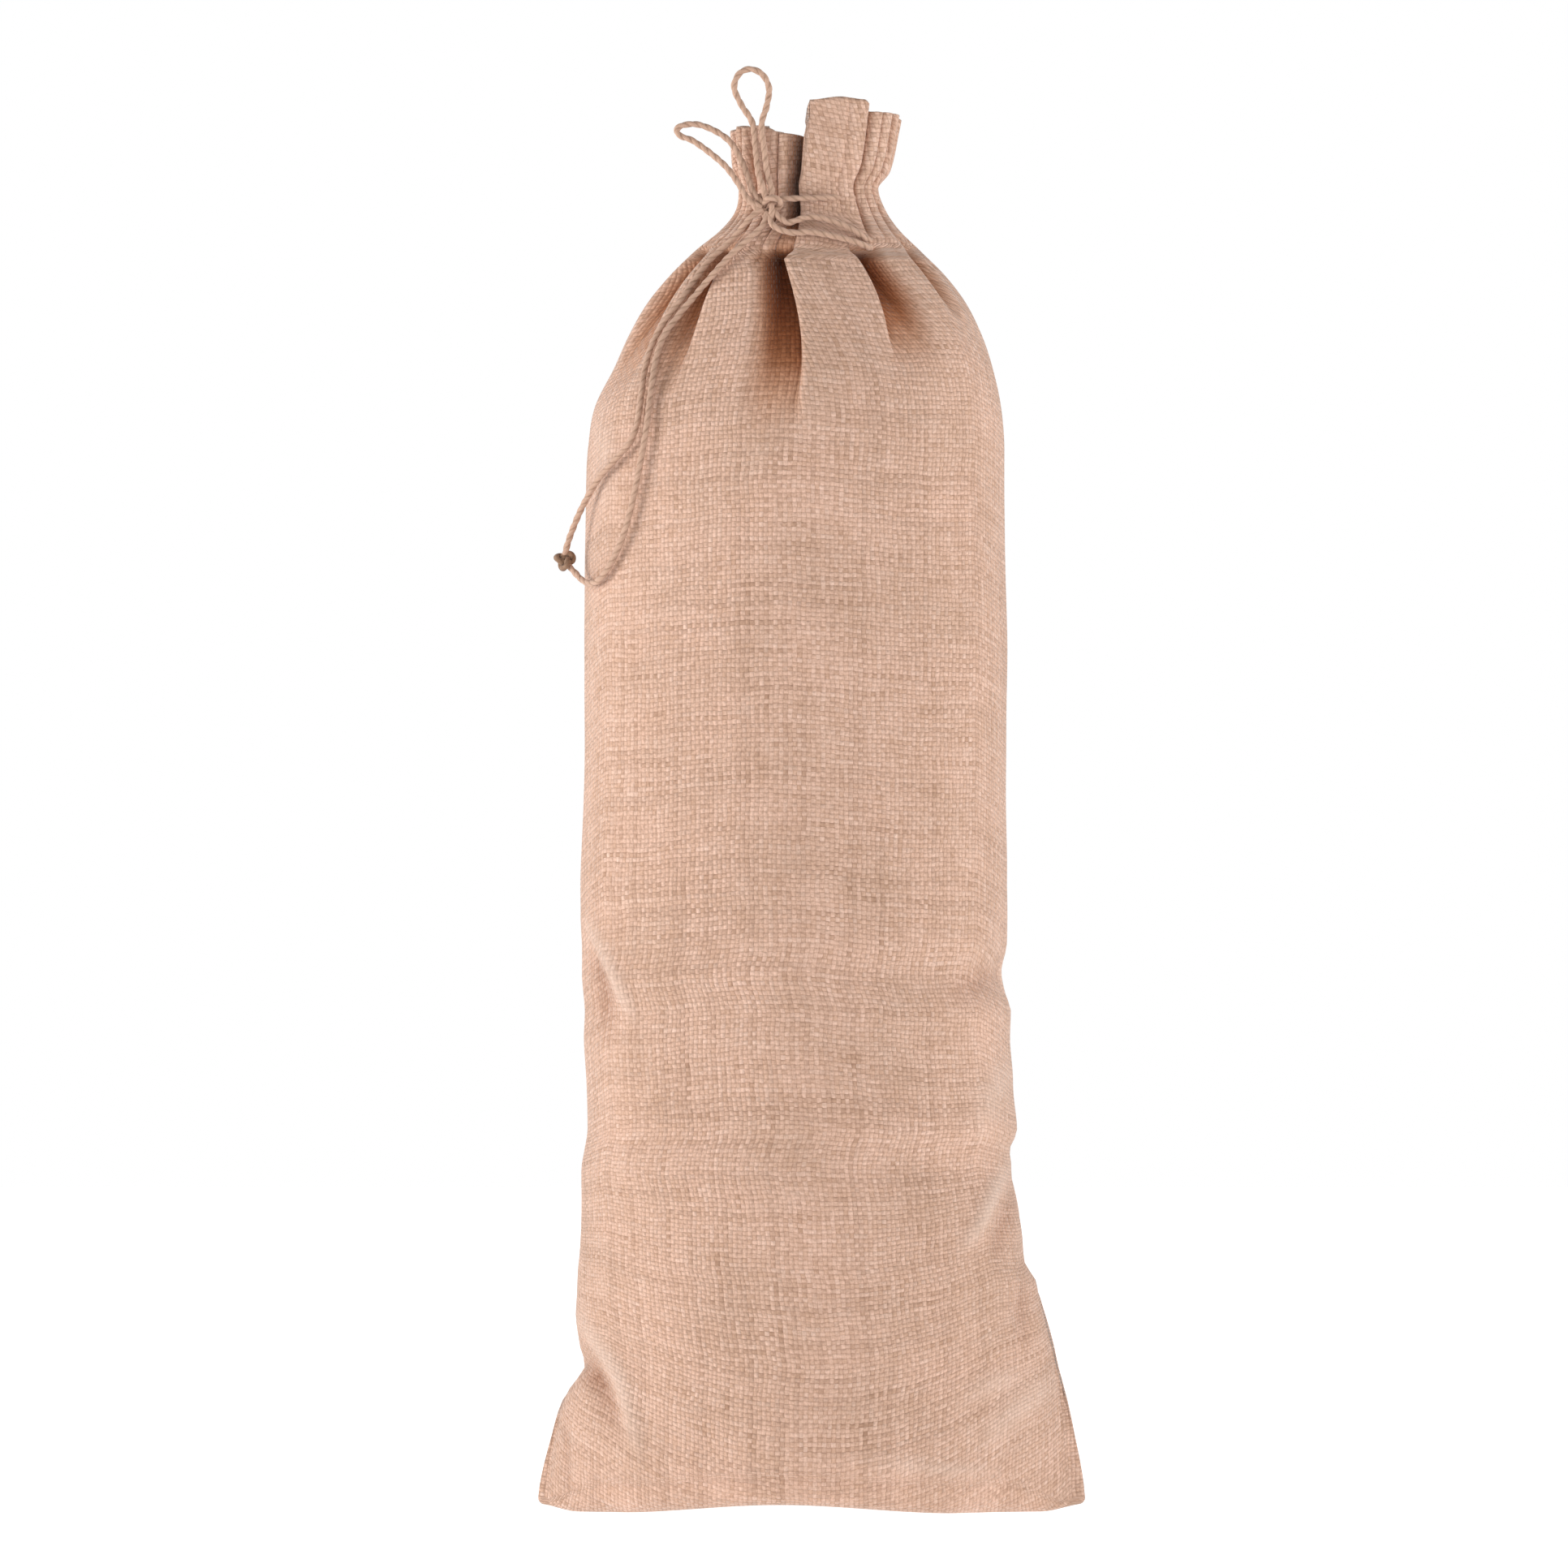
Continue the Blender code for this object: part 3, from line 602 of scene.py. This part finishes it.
def crease_rise(creases, x, z):
    """How far the soft creases lift or press the cloth at a place seen from its own side."""
    rise = 0.0
    for crease in creases:
        nearest, along = None, 0.0
        count = len(crease.line) - 1
        for index, (start, end) in enumerate(zip(crease.line, crease.line[1:])):
            dx, dz = end[0] - start[0], end[1] - start[1]
            share = ((x - start[0]) * dx + (z - start[1]) * dz) / (dx * dx + dz * dz)
            share = min(1.0, max(0.0, share))
            gap = hypot(x - start[0] - dx * share, z - start[1] - dz * share)
            if nearest is None or gap < nearest:
                nearest, along = gap, (index + share) / count
        if nearest < CREASE_REACH * crease.width:
            fade = sin(pi * mix(CREASE_END_SHARE, 1.0 - CREASE_END_SHARE, along))
            rise += crease.height * fade * exp(-(nearest / crease.width) ** 2)
    return rise


def unevenness(x, z, seed):
    """The cloth's slack, wavy surface."""
    fine_x, fine_z = UNEVEN_FINE
    place = Vector((x / UNEVEN_SCALE, z / (UNEVEN_TALL * UNEVEN_SCALE), seed))
    fine = Vector((x / (fine_x * UNEVEN_SCALE), z / (fine_z * UNEVEN_SCALE), seed + UNEVEN_FINE_PLACE))
    return UNEVEN_HEIGHT * (noise.noise(place) + UNEVEN_FINE_SHARE * noise.noise(fine))


def seam_dip(arc, length):
    """The cloth's edges roll in towards the side seams."""
    near = min(arc, length - arc) / SEAM_ROLL_WIDTH
    return SEAM_ROLL * exp(-near * near) if near < SEAM_ROLL_REACH else 0.0


def notch_shift(arc, height):
    """How far the small notch above the left ear draws the cloth in."""
    span = (height - NOTCH_HEIGHT) / NOTCH_SPAN
    return NOTCH_DEPTH * exp(-span * span) * (1.0 - ease(arc / NOTCH_REACH))


def ear_share(x):
    """How far into an ear's lifted tip x lies, from 0 to 1."""
    return ease((abs(x) - EAR_LIFT_START) / EAR_LIFT_REACH)


def base_lift(x):
    """How far the underside stands off the surface at x."""
    return EAR_LIFT * ear_share(x) + ARCH_LIFT * (1.0 - ease(abs(x - ARCH_CENTRE) / ARCH_REACH))


def floor_row(shares, run_share, angle):
    """A row of the base: run_share of the way out along the floor, or turned up by angle."""
    feet = place_columns(outline(SECTIONS[0]), shares)
    seam_left = SECTIONS[0].left + BOTTOM_SEAM_INSET
    seam_right = SECTIONS[0].right - BOTTOM_SEAM_INSET
    row = []
    for (x, y, _), share in zip(feet, shares):
        seam = mix(seam_left, seam_right, share)
        gap = mix(RIM_STAND_OFF, EAR_STAND_OFF, ear_share(seam))
        reach = hypot(x - seam, y - gap)
        corner = min(BASE_CORNER_RADIUS, BASE_CORNER_SHARE * reach)
        run = ((reach - corner) * run_share + corner * sin(angle)) / reach
        rise = CLOTH_THICKNESS / 2 + base_lift(seam) + corner * (1.0 - cos(angle))
        row.append((mix(seam, x, run), mix(gap, y, run), rise))
    return row


def edge_height(edges, place):
    """Height of the heading's upper edge at a place across the panel."""
    for start, end in zip(edges, edges[1:]):
        if place <= end.place:
            return mix(start.height, end.height, ease((place - start.place) / (end.place - start.place)))
    return edges[-1].height


def wall_row(shares, height, folds, pleats, creases, seed, tops):
    """A row of the wall at a height, with its folds, creases and slack."""
    section = section_at(height)
    points = outline(section)
    length = sum(hypot(b[0] - a[0], b[1] - a[1]) for a, b in zip(points, points[1:]))
    loose = ease((height - SLACK_START) / SLACK_RUN)
    slack = loose * (1.0 - SLACK_TOP_LOSS * ease((height - SLACK_TOP) / SLACK_RUN))
    tint = 1.0 - HEADING_SHADE_FADE * ease((height - CASING_HEIGHT) / (HEADING_BASE - CASING_HEIGHT))
    row, shades = [], []
    for share, top, (x, y, outward) in zip(shares, tops, place_columns(points, shares)):
        dip = fold_dip(folds, pleats, share, height)
        edge = min(share, 1.0 - share)
        rise = crease_rise(creases, x, height) * ease(edge / CREASE_EDGE)
        # Painted shade for the folds, by their depth and faded in the heading, and the crease rise, which
        # later paints highlights and shade
        shades.append((tint * min(1.0, dip / DEEP_FOLD) ** SHADE_POWER, rise, 0.0))
        dip += seam_dip(share * length, length) * loose
        dip -= rise + CASING_PUFF * casing_cover(height)
        dip -= unevenness(x, height, seed) * slack * ease(edge / SLACK_EDGE)
        z = height
        if height > HEADING_BASE:
            reach = (height - HEADING_BASE) / (SECTIONS[-1].height - HEADING_BASE)
            z = mix(HEADING_BASE, top, reach)
        shift = lip_shift(folds, share, height)
        notch = notch_shift(share * length, height)
        row.append((x + notch - outward[0] * dip + outward[1] * shift,
                    y - outward[1] * dip - outward[0] * shift, z))
    return row, shades


def panel_rows(folds, pleats, creases, edges, seed):
    """The panel's grid of points, from the bottom seam up to the heading's edge."""
    wall_count = ROWS - FLOOR_ROWS - CORNER_ROWS
    straight = column_shares(folds, 0.0)
    rows = [floor_row(straight, index / FLOOR_ROWS, 0.0) for index in range(FLOOR_ROWS)]
    rows += [floor_row(straight, 1.0, pi / 2 * index / CORNER_ROWS) for index in range(CORNER_ROWS)]
    shades = [[(0.0, 0.0, 0.0)] * len(straight) for _ in rows]
    tops = [edge_height(edges, share) for share in column_shares(folds, SECTIONS[-1].height)]
    turned = floor_row(straight, 1.0, pi / 2)
    start = max(point[2] for point in turned) + WALL_ROW_GAP
    for index in range(wall_count + 1):
        share = index / wall_count
        if share < 1.0 - FINE_ROWS_SHARE:
            height = mix(start, FINE_ROWS_START, share / (1.0 - FINE_ROWS_SHARE))
        else:
            height = mix(SECTIONS[-1].height, FINE_ROWS_START, (1.0 - share) / FINE_ROWS_SHARE)
        shares = column_shares(folds, height)
        row, row_shades = wall_row(shares, height, folds, pleats, creases, seed, tops)
        climb = min(1.0, (height - start) / (EVEN_HEIGHT - start))
        drops = [mix(low[2] + WALL_ROW_GAP - start, 0.0, climb) for low in turned]
        rows.append([(x, y, z + drop) for (x, y, z), drop in zip(row, drops)])
        shades.append(row_shades)
    return rows, shades


def new_mesh_object(name, vertices, faces):
    """An object from points in millimetres and faces."""
    mesh = bpy.data.meshes.new(name)
    mesh.from_pydata([(x * MM, y * MM, z * MM) for x, y, z in vertices], [], faces)
    mesh.update()
    mesh.shade_smooth()
    piece = bpy.data.objects.new(name, mesh)
    bpy.context.scene.collection.objects.link(piece)
    return piece


def add_places(piece, name, places):
    """Keep a place of its own for each vertex, which the material reads."""
    attribute = piece.data.attributes.new(name, "FLOAT_VECTOR", "POINT")
    attribute.data.foreach_set("vector", [value for place in places for value in place])


def weave_places(rows, seed):
    """Each point's place in the flat cloth. Higher up the threads run level across the panel."""
    middle = COLUMNS // 2
    turned = FLOOR_ROWS + CORNER_ROWS
    climbed = [0.0] * (COLUMNS + 1)
    extra = climbed
    places = []
    for index, row in enumerate(rows):
        if index == turned + 1:
            extra = [climbed[middle] - value for value in climbed]
        for column, point in enumerate(row):
            if index and index <= turned:
                climbed[column] += (Vector(point) - Vector(rows[index - 1][column])).length
            elif index:
                climbed[column] += point[2] - rows[index - 1][column][2]
        lengths = [0.0]
        for start, end in zip(row, row[1:]):
            lengths.append(lengths[-1] + (Vector(end) - Vector(start)).length)
        for column, point in enumerate(row):
            across = PANEL_WIDTH / 2 + lengths[column] - lengths[middle]
            level = ease(point[2] / STRAIGHT_HEIGHT) if index > turned else 0.0
            places.append((across, climbed[column] + extra[column] * level, seed))
    return places


def make_panel(name, node, side, folds, pleats, creases, edges, seed, material):
    """One cloth panel, side -1 for the front and 1 for the back."""
    rows, shades = panel_rows(folds, pleats, creases, edges, seed)
    width = COLUMNS + 1
    vertices = [(x, side * y, z) for row in rows for x, y, z in row]
    faces = []
    for below in range(len(rows) - 1):
        for left in range(COLUMNS):
            corners = (below * width + left, below * width + left + 1,
                       (below + 1) * width + left + 1, (below + 1) * width + left)
            faces.append(corners if side < 0 else corners[::-1])
    panel = new_mesh_object(name, vertices, faces)
    add_places(panel, "cloth_place", weave_places(rows, seed))
    add_places(panel, "cloth_shade", [shade for row in shades for shade in row])
    panel.data.materials.append(material)
    solidify = panel.modifiers.new("thickness", "SOLIDIFY")
    solidify.thickness = CLOTH_THICKNESS * MM
    solidify.offset = 0.0
    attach(panel, "root")
    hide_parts(node)


def smooth_points(route):
    """Points close together on a smooth curve through a route's points."""
    ends = [route[0]] + list(route) + [route[-1]]
    points = []
    for before, start, end, after in zip(ends, ends[1:], ends[2:], ends[3:]):
        p0, p1, p2, p3 = (Vector(point) for point in (before, start, end, after))
        for step in range(ROUTE_STEPS):
            points.append(curve_value(p0, p1, p2, p3, step / ROUTE_STEPS))
    points.append(Vector(route[-1]))
    return points


def even_points(points, step):
    """The same curve with its points an even step apart."""
    lengths = [0.0]
    for start, end in zip(points, points[1:]):
        lengths.append(lengths[-1] + (end - start).length)
    count = max(2, round(lengths[-1] / step))
    placed = []
    for index in range(count + 1):
        target = lengths[-1] * index / count
        place = min(max(1, bisect_right(lengths, target)), len(points) - 1)
        run = lengths[place] - lengths[place - 1]
        placed.append(points[place - 1].lerp(points[place], (target - lengths[place - 1]) / run))
    return placed


def ply_radius(angle):
    """The twine's radius at an angle round it: its plies bulge, with grooves between."""
    return TWINE_DIAMETER / 2 * (PLY_CORE + PLY_BULGE * abs(cos(angle * TWINE_PLIES / 2)))


def twine_mesh(name, points, material, closed=False):
    """A twisted twine along points in millimetres."""
    count = len(points)
    tangents = []
    for index in range(count):
        before = points[index - 1] if index or closed else points[0]
        after = points[(index + 1) % count] if index < count - 1 or closed else points[-1]
        tangents.append((after - before).normalized())
    normal = tangents[0].orthogonal().normalized()
    vertices, places, along = [], [], 0.0
    for index, (point, tangent) in enumerate(zip(points, tangents)):
        if index:
            along += (point - points[index - 1]).length
        normal = (normal - tangent * normal.dot(tangent)).normalized()
        across = tangent.cross(normal)
        slub = 1.0 + SLUB_SHARE * noise.noise(Vector((along / SLUB_LENGTH, 0.0, SLUB_PLACE)))
        for side in range(TWINE_SIDES):
            angle = tau * side / TWINE_SIDES
            radius = ply_radius(angle - tau * along / TWINE_PITCH) * slub
            spot = point + (normal * cos(angle) + across * sin(angle)) * radius
            vertices.append(tuple(spot))
            places.append((angle / tau, along, radius))
    faces = []
    for ring in range(count if closed else count - 1):
        after = (ring + 1) % count
        for side in range(TWINE_SIDES):
            beside = (side + 1) % TWINE_SIDES
            faces.append((ring * TWINE_SIDES + side, ring * TWINE_SIDES + beside,
                          after * TWINE_SIDES + beside, after * TWINE_SIDES + side))
    if not closed:
        faces.append(tuple(range(TWINE_SIDES))[::-1])
        faces.append(tuple((count - 1) * TWINE_SIDES + side for side in range(TWINE_SIDES)))
    piece = new_mesh_object(name, vertices, faces)
    add_places(piece, "twine_place", places)
    piece.data.materials.append(material)
    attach(piece, "root")
    return piece


def make_strand(name, node, route, material):
    """A strand of twine in place of its CAD tube, with its points and length."""
    points = even_points(smooth_points(route), TWINE_STEP)
    piece = twine_mesh(name, points, material)
    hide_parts(node)
    length = sum((b - a).length for a, b in zip(points, points[1:]))
    return piece, points, length


def make_cord(name, node, route, material):
    """A free strand of twine."""
    piece, points, length = make_strand(name, node, route, material)


def make_knot(name, node, centre, scale, tilt, material):
    """An overhand knot of twine."""
    points = []
    for index in range(KNOT_POINTS):
        t = tau * index / KNOT_POINTS
        spot = Vector((sin(t) + 2 * sin(2 * t), KNOT_RISE * sin(3 * t), cos(t) - 2 * cos(2 * t)))
        spot.rotate(Vector((0.0, 1.0, 0.0)).rotation_difference(Vector(tilt).normalized()))
        points.append(Vector(centre) + spot * scale)
    piece = twine_mesh(name, points, material, closed=True)
    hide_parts(node)
    return piece


def node_tree(name, surface):
    """A new material with its nodes and its shader, whose own sockets say what surface says."""
    material = bpy.data.materials.new(name)
    material.use_nodes = True
    tree = material.node_tree
    shader = tree.nodes["Principled BSDF"]
    for socket, value in surface.items():
        shader.inputs[socket].default_value = value
    return material, tree, shader


def attribute(tree, name):
    """A mesh attribute's vector, and its three parts."""
    source = tree.nodes.new("ShaderNodeAttribute")
    source.attribute_name = name
    split = tree.nodes.new("ShaderNodeSeparateXYZ")
    tree.links.new(source.outputs["Vector"], split.inputs[0])
    return source.outputs["Vector"], split.outputs


def maths(tree, operation, first, second=None, third=None):
    """A math node's result; each input is a socket or a number."""
    node = tree.nodes.new("ShaderNodeMath")
    node.operation = operation
    for socket, value in zip(node.inputs, (first, second, third)):
        if value is None:
            continue
        if isinstance(value, (int, float)):
            socket.default_value = value
        else:
            tree.links.new(value, socket)
    return node.outputs[0]


def noise_value(tree, place, scale, detail=2.0):
    """A noise texture's value at a place."""
    node = tree.nodes.new("ShaderNodeTexNoise")
    node.inputs["Scale"].default_value = scale
    node.inputs["Detail"].default_value = detail
    tree.links.new(place, node.inputs["Vector"])
    return node.outputs["Fac"]


def joined(tree, x, y, z=0.0):
    """A vector of three sockets or numbers."""
    node = tree.nodes.new("ShaderNodeCombineXYZ")
    for socket, value in zip(node.inputs, (x, y, z)):
        if isinstance(value, (int, float)):
            socket.default_value = value
        else:
            tree.links.new(value, socket)
    return node.outputs[0]


def colour_ramp(tree, value, stops):
    """A colour picked by a value, from (position, colour) stops."""
    node = tree.nodes.new("ShaderNodeValToRGB")
    elements = node.color_ramp.elements
    elements[0].position, elements[0].color = stops[0]
    elements[1].position, elements[1].color = stops[-1]
    for position, colour in stops[1:-1]:
        element = elements.new(position)
        element.color = colour
    tree.links.new(value, node.inputs["Fac"])
    return node.outputs["Color"]


def mixed(tree, factor, first, second, blend="MIX"):
    """Two colours mixed by a factor."""
    node = tree.nodes.new("ShaderNodeMix")
    node.data_type = "RGBA"
    node.blend_type = blend
    for socket, value in ((node.inputs[0], factor), (node.inputs[6], first), (node.inputs[7], second)):
        if isinstance(value, (int, float, tuple)):
            socket.default_value = value
        else:
            tree.links.new(value, socket)
    return node.outputs[2]


def tinted(tree, colour, tint, share=1.0):
    """A colour multiplied by a tint, as far as share says."""
    return mixed(tree, share, colour, tint, "MULTIPLY")


def add_bump(tree, shader, height, strength, depth):
    """Let a height stand out of the surface, depth in millimetres."""
    bump = tree.nodes.new("ShaderNodeBump")
    bump.inputs["Strength"].default_value = strength
    bump.inputs["Distance"].default_value = depth * MM
    tree.links.new(height, bump.inputs["Height"])
    tree.links.new(bump.outputs["Normal"], shader.inputs["Normal"])


def thread_counts(tree, place, across, along):
    """How many threads lie before a place, across and along; the threads wander a little."""
    wander = noise_value(tree, place, WANDER_SCALE)
    sway = noise_value(tree, joined(tree, along, across, SWAY_PLACE), SWAY_SCALE)
    across = maths(tree, "MULTIPLY_ADD", maths(tree, "SUBTRACT", wander, 0.5), WANDER, across)
    along = maths(tree, "MULTIPLY_ADD", maths(tree, "SUBTRACT", sway, 0.5), SWAY, along)
    return maths(tree, "DIVIDE", across, WEAVE_PITCH), maths(tree, "DIVIDE", along, WEAVE_PITCH)


def thread_round(tree, count):
    """A thread's round form across its own width, from 0 at its sides to 1."""
    return maths(tree, "SINE", maths(tree, "MULTIPLY", maths(tree, "FRACT", count), pi))


def thread_height(tree, own_round, other_round, slub):
    """A thread's height: most over the middle of the thread that it crosses, and at its slubs."""
    crown = maths(tree, "MULTIPLY_ADD", other_round, THREAD_CROWN, 1.0 - THREAD_CROWN)
    height = maths(tree, "MULTIPLY", own_round, crown)
    return maths(tree, "MULTIPLY", height, maths(tree, "ADD", slub, SLUB_FLOOR))


def warp_noise(tree, index, rows, stretch, place, scale):
    """Noise of its own for each warp thread, drawn out along the thread."""
    return noise_value(tree, joined(tree, index, maths(tree, "MULTIPLY", rows, stretch), place), scale)


def weft_noise(tree, columns, index, stretch, place, scale):
    """Noise of its own for each weft thread, drawn out along the thread."""
    return noise_value(tree, joined(tree, maths(tree, "MULTIPLY", columns, stretch), index, place), scale)


def upper(tree, warp, weft, warp_up, weft_up):
    """The value of the thread that lies on top."""
    return maths(tree, "ADD", maths(tree, "MULTIPLY", warp, warp_up), maths(tree, "MULTIPLY", weft, weft_up))


def jute_cloth():
    """Plain-woven jute: uneven threads both ways, slubs, dark gaps and a fibrous surface, with painted shade
    in the folds and pressed creases and a painted highlight on raised creases.
    """
    material, tree, shader = node_tree("jute_cloth", CLOTH_SURFACE)
    place, (across, along, _) = attribute(tree, "cloth_place")
    columns, rows = thread_counts(tree, place, across, along)
    column_index, row_index = maths(tree, "FLOOR", columns), maths(tree, "FLOOR", rows)
    column_round, row_round = thread_round(tree, columns), thread_round(tree, rows)
    parity = maths(tree, "MODULO", maths(tree, "ADD", column_index, row_index), 2.0)
    warp_up = maths(tree, "ABSOLUTE", parity)
    weft_up = maths(tree, "SUBTRACT", 1.0, warp_up)
    warp_slub = warp_noise(tree, column_index, rows, WARP_SLUB_STRETCH, WARP_SLUB_PLACE, WARP_SLUB_SCALE)
    weft_slub = weft_noise(tree, columns, row_index, WEFT_SLUB_STRETCH, WEFT_SLUB_PLACE, WEFT_SLUB_SCALE)
    warp_height = thread_height(tree, column_round, row_round, warp_slub)
    weft_height = thread_height(tree, row_round, column_round, weft_slub)
    height = upper(tree, warp_height, weft_height, warp_up, weft_up)
    slub = upper(tree, warp_slub, weft_slub, warp_up, weft_up)
    warp_tone = warp_noise(tree, column_index, rows, WARP_TONE_STRETCH, WARP_TONE_PLACE, TONE_SCALE)
    weft_tone = weft_noise(tree, columns, row_index, WEFT_TONE_STRETCH, WEFT_TONE_PLACE, TONE_SCALE)
    patches = noise_value(tree, place, PATCH_SCALE, PATCH_DETAIL)
    specks = noise_value(tree, place, SPECK_SCALE, SPECK_DETAIL)
    fibres = noise_value(tree, place, FIBRE_SCALE, FIBRE_DETAIL)
    colour = colour_ramp(tree, slub, THREAD_COLOURS)
    colour = tinted(tree, colour, colour_ramp(tree, patches, PATCH_TINTS))
    colour = tinted(tree, colour, colour_ramp(tree, warp_tone, YARN_TINTS), warp_up)
    colour = tinted(tree, colour, colour_ramp(tree, weft_tone, YARN_TINTS), weft_up)
    colour = tinted(tree, colour, colour_ramp(tree, height, GAP_TINTS), GAP_SHARE)
    colour = tinted(tree, colour, colour_ramp(tree, specks, SPECK_TINTS))
    colour = tinted(tree, colour, colour_ramp(tree, fibres, FIBRE_TINTS))
    _, (depth, rise, _) = attribute(tree, "cloth_shade")
    # Painted shade in the folds, by their depth
    colour = tinted(tree, colour, colour_ramp(tree, depth, FOLD_SHADE_TINTS))
    # Raised creases get a painted highlight
    crease_highlight = maths(tree, "MULTIPLY", maths(tree, "MAXIMUM", rise, 0.0), CREASE_HIGHLIGHT_SHARE)
    colour = mixed(tree, crease_highlight, colour, CREASE_HIGHLIGHT_COLOUR)
    # Pressed creases get painted shade
    hollow_shade = maths(tree, "MULTIPLY", maths(tree, "MINIMUM", rise, 0.0), -HOLLOW_SHADE_SHARE)
    colour = tinted(tree, colour, HOLLOW_SHADE_TINT, hollow_shade)
    tree.links.new(colour, shader.inputs["Base Color"])
    surface = maths(tree, "MULTIPLY_ADD", fibres, CLOTH_GRAIN, height)
    add_bump(tree, shader, surface, CLOTH_BUMP, CLOTH_BUMP_DEPTH)
    rough = maths(tree, "MULTIPLY_ADD", fibres, CLOTH_ROUGHNESS_RANGE, CLOTH_ROUGHNESS)
    tree.links.new(rough, shader.inputs["Roughness"])
    return material


def jute_twine(name, light, dark):
    """Twisted jute fibre: slanting fibres, and painted shade in the grooves between the plies."""
    material, tree, shader = node_tree(name, TWINE_SURFACE)
    _, (turn, along, radius) = attribute(tree, "twine_place")
    slant = maths(tree, "SUBTRACT", maths(tree, "MULTIPLY", along, 1.0 / TWINE_PITCH), turn)
    across_fibres = maths(tree, "MULTIPLY", slant, TWINE_FIBRES)
    along_fibres = maths(tree, "MULTIPLY", along, TWINE_FIBRE_STRETCH)
    fibre_place = joined(tree, across_fibres, along_fibres, TWINE_FIBRE_PLACE)
    fibres = noise_value(tree, fibre_place, 1.0, TWINE_FIBRE_DETAIL)
    geometry = tree.nodes.new("ShaderNodeNewGeometry")
    specks = noise_value(tree, geometry.outputs["Position"], TWINE_SPECK_SCALE, TWINE_SPECK_DETAIL)
    groove = maths(tree, "DIVIDE", radius, TWINE_DIAMETER / 2)
    fibre_share = maths(tree, "MULTIPLY", fibres, TWINE_FIBRE_SHARE)
    value = maths(tree, "MULTIPLY_ADD", specks, TWINE_SPECK_SHARE, fibre_share)
    colour = colour_ramp(tree, value, tuple(zip(TWINE_TONES, (dark, light))))
    # Painted shade in the grooves between the plies
    colour = tinted(tree, colour, colour_ramp(tree, groove, GROOVE_SHADE_TINTS))
    tree.links.new(colour, shader.inputs["Base Color"])
    add_bump(tree, shader, fibres, TWINE_BUMP, TWINE_BUMP_DEPTH)
    return material


def make_camera():
    """The camera stands level and far off, as the photograph was taken."""
    data = bpy.data.cameras.new("camera")
    data.sensor_width = SENSOR_WIDTH
    data.lens = SENSOR_WIDTH * CAMERA_DISTANCE / FRAME_WIDTH
    data.clip_end = CAMERA_REACH
    camera = bpy.data.objects.new("camera", data)
    camera.location = Vector((FRAME_CENTRE[0], -CAMERA_DISTANCE, FRAME_CENTRE[1])) * MM
    camera.rotation_euler = (pi / 2, 0.0, 0.0)
    bpy.context.scene.collection.objects.link(camera)
    bpy.context.scene.camera = camera


def area_light(name, place, power):
    """A soft square light that points at the bag."""
    data = bpy.data.lights.new(name, "AREA")
    data.size = LIGHT_SIZE
    data.energy = power
    data.color = LIGHT_COLOUR
    light = bpy.data.objects.new(name, data)
    light.location = place
    light.rotation_euler = (Vector(LIGHT_TARGET) - Vector(place)).to_track_quat("-Z", "Y").to_euler()
    bpy.context.scene.collection.objects.link(light)


def make_stage():
    """A pale floor, a white surround and soft lights."""
    world = bpy.data.worlds.new("world")
    world.use_nodes = True
    tree = world.node_tree
    background = tree.nodes["Background"]
    direction = tree.nodes.new("ShaderNodeTexCoord")
    split = tree.nodes.new("ShaderNodeSeparateXYZ")
    tree.links.new(direction.outputs["Generated"], split.inputs[0])
    tree.links.new(colour_ramp(tree, split.outputs[2], SKY_STOPS), background.inputs["Color"])
    background.inputs["Strength"].default_value = WORLD_STRENGTH
    bpy.context.scene.world = world
    bpy.context.scene.view_settings.view_transform = "Standard"
    mesh = bpy.data.meshes.new("floor")
    corners = ((-1, -1), (1, -1), (1, 1), (-1, 1))
    mesh.from_pydata([(x * FLOOR_HALF, y * FLOOR_HALF, 0.0) for x, y in corners], [], [(0, 1, 2, 3)])
    floor = bpy.data.objects.new("floor", mesh)
    bpy.context.scene.collection.objects.link(floor)
    floor.data.materials.append(node_tree("floor", FLOOR_SURFACE)[0])
    area_light("left", *LEFT_LIGHT)
    area_light("right", *RIGHT_LIGHT)


def build():
    """Everything that shows."""
    make_camera()
    twine = jute_twine("jute_twine", TWINE_LIGHT, TWINE_DARK)
    # The end knot gets a darker copy of the twine, as painted shade
    shaded_knot_twine = jute_twine("jute_twine_knot_shaded", SHADED_KNOT_LIGHT, SHADED_KNOT_DARK)
    make_knot("bow_knot_twine", "bow_knot", BOW_KNOT_CENTRE, BOW_KNOT_SCALE, BOW_KNOT_TILT, twine)
    end = make_knot("end_knot_twine", "end_knot", END_KNOT_CENTRE, END_KNOT_SCALE, END_KNOT_TILT, shaded_knot_twine)
    make_cord("loop_up_twine", "loop_up", LOOP_UP, twine)
    make_cord("loop_left_twine", "loop_left", LOOP_LEFT, twine)
    make_cord("tail_left_twine", "tail_left", TAIL_LEFT, twine)
    make_cord("tail_right_twine", "tail_right", TAIL_RIGHT, twine)
    make_strand("neck_twine_round", "neck_twine", NECK_TWINE, twine)
    make_strand("upper_strand_twine", "upper_strand", UPPER_STRAND, twine)
    make_strand("lower_strand_twine", "lower_strand", LOWER_STRAND, twine)
    cloth = jute_cloth()
    make_panel("front_cloth", "front_panel", -1, FRONT_FOLDS, FRONT_PLEATS, FRONT_CREASES, FRONT_EDGE,
               FRONT_SEED, cloth)
    make_panel("back_cloth", "back_panel", 1, BACK_FOLDS, BACK_PLEATS, BACK_CREASES, BACK_EDGE,
               BACK_SEED, cloth)
    make_stage()


build()
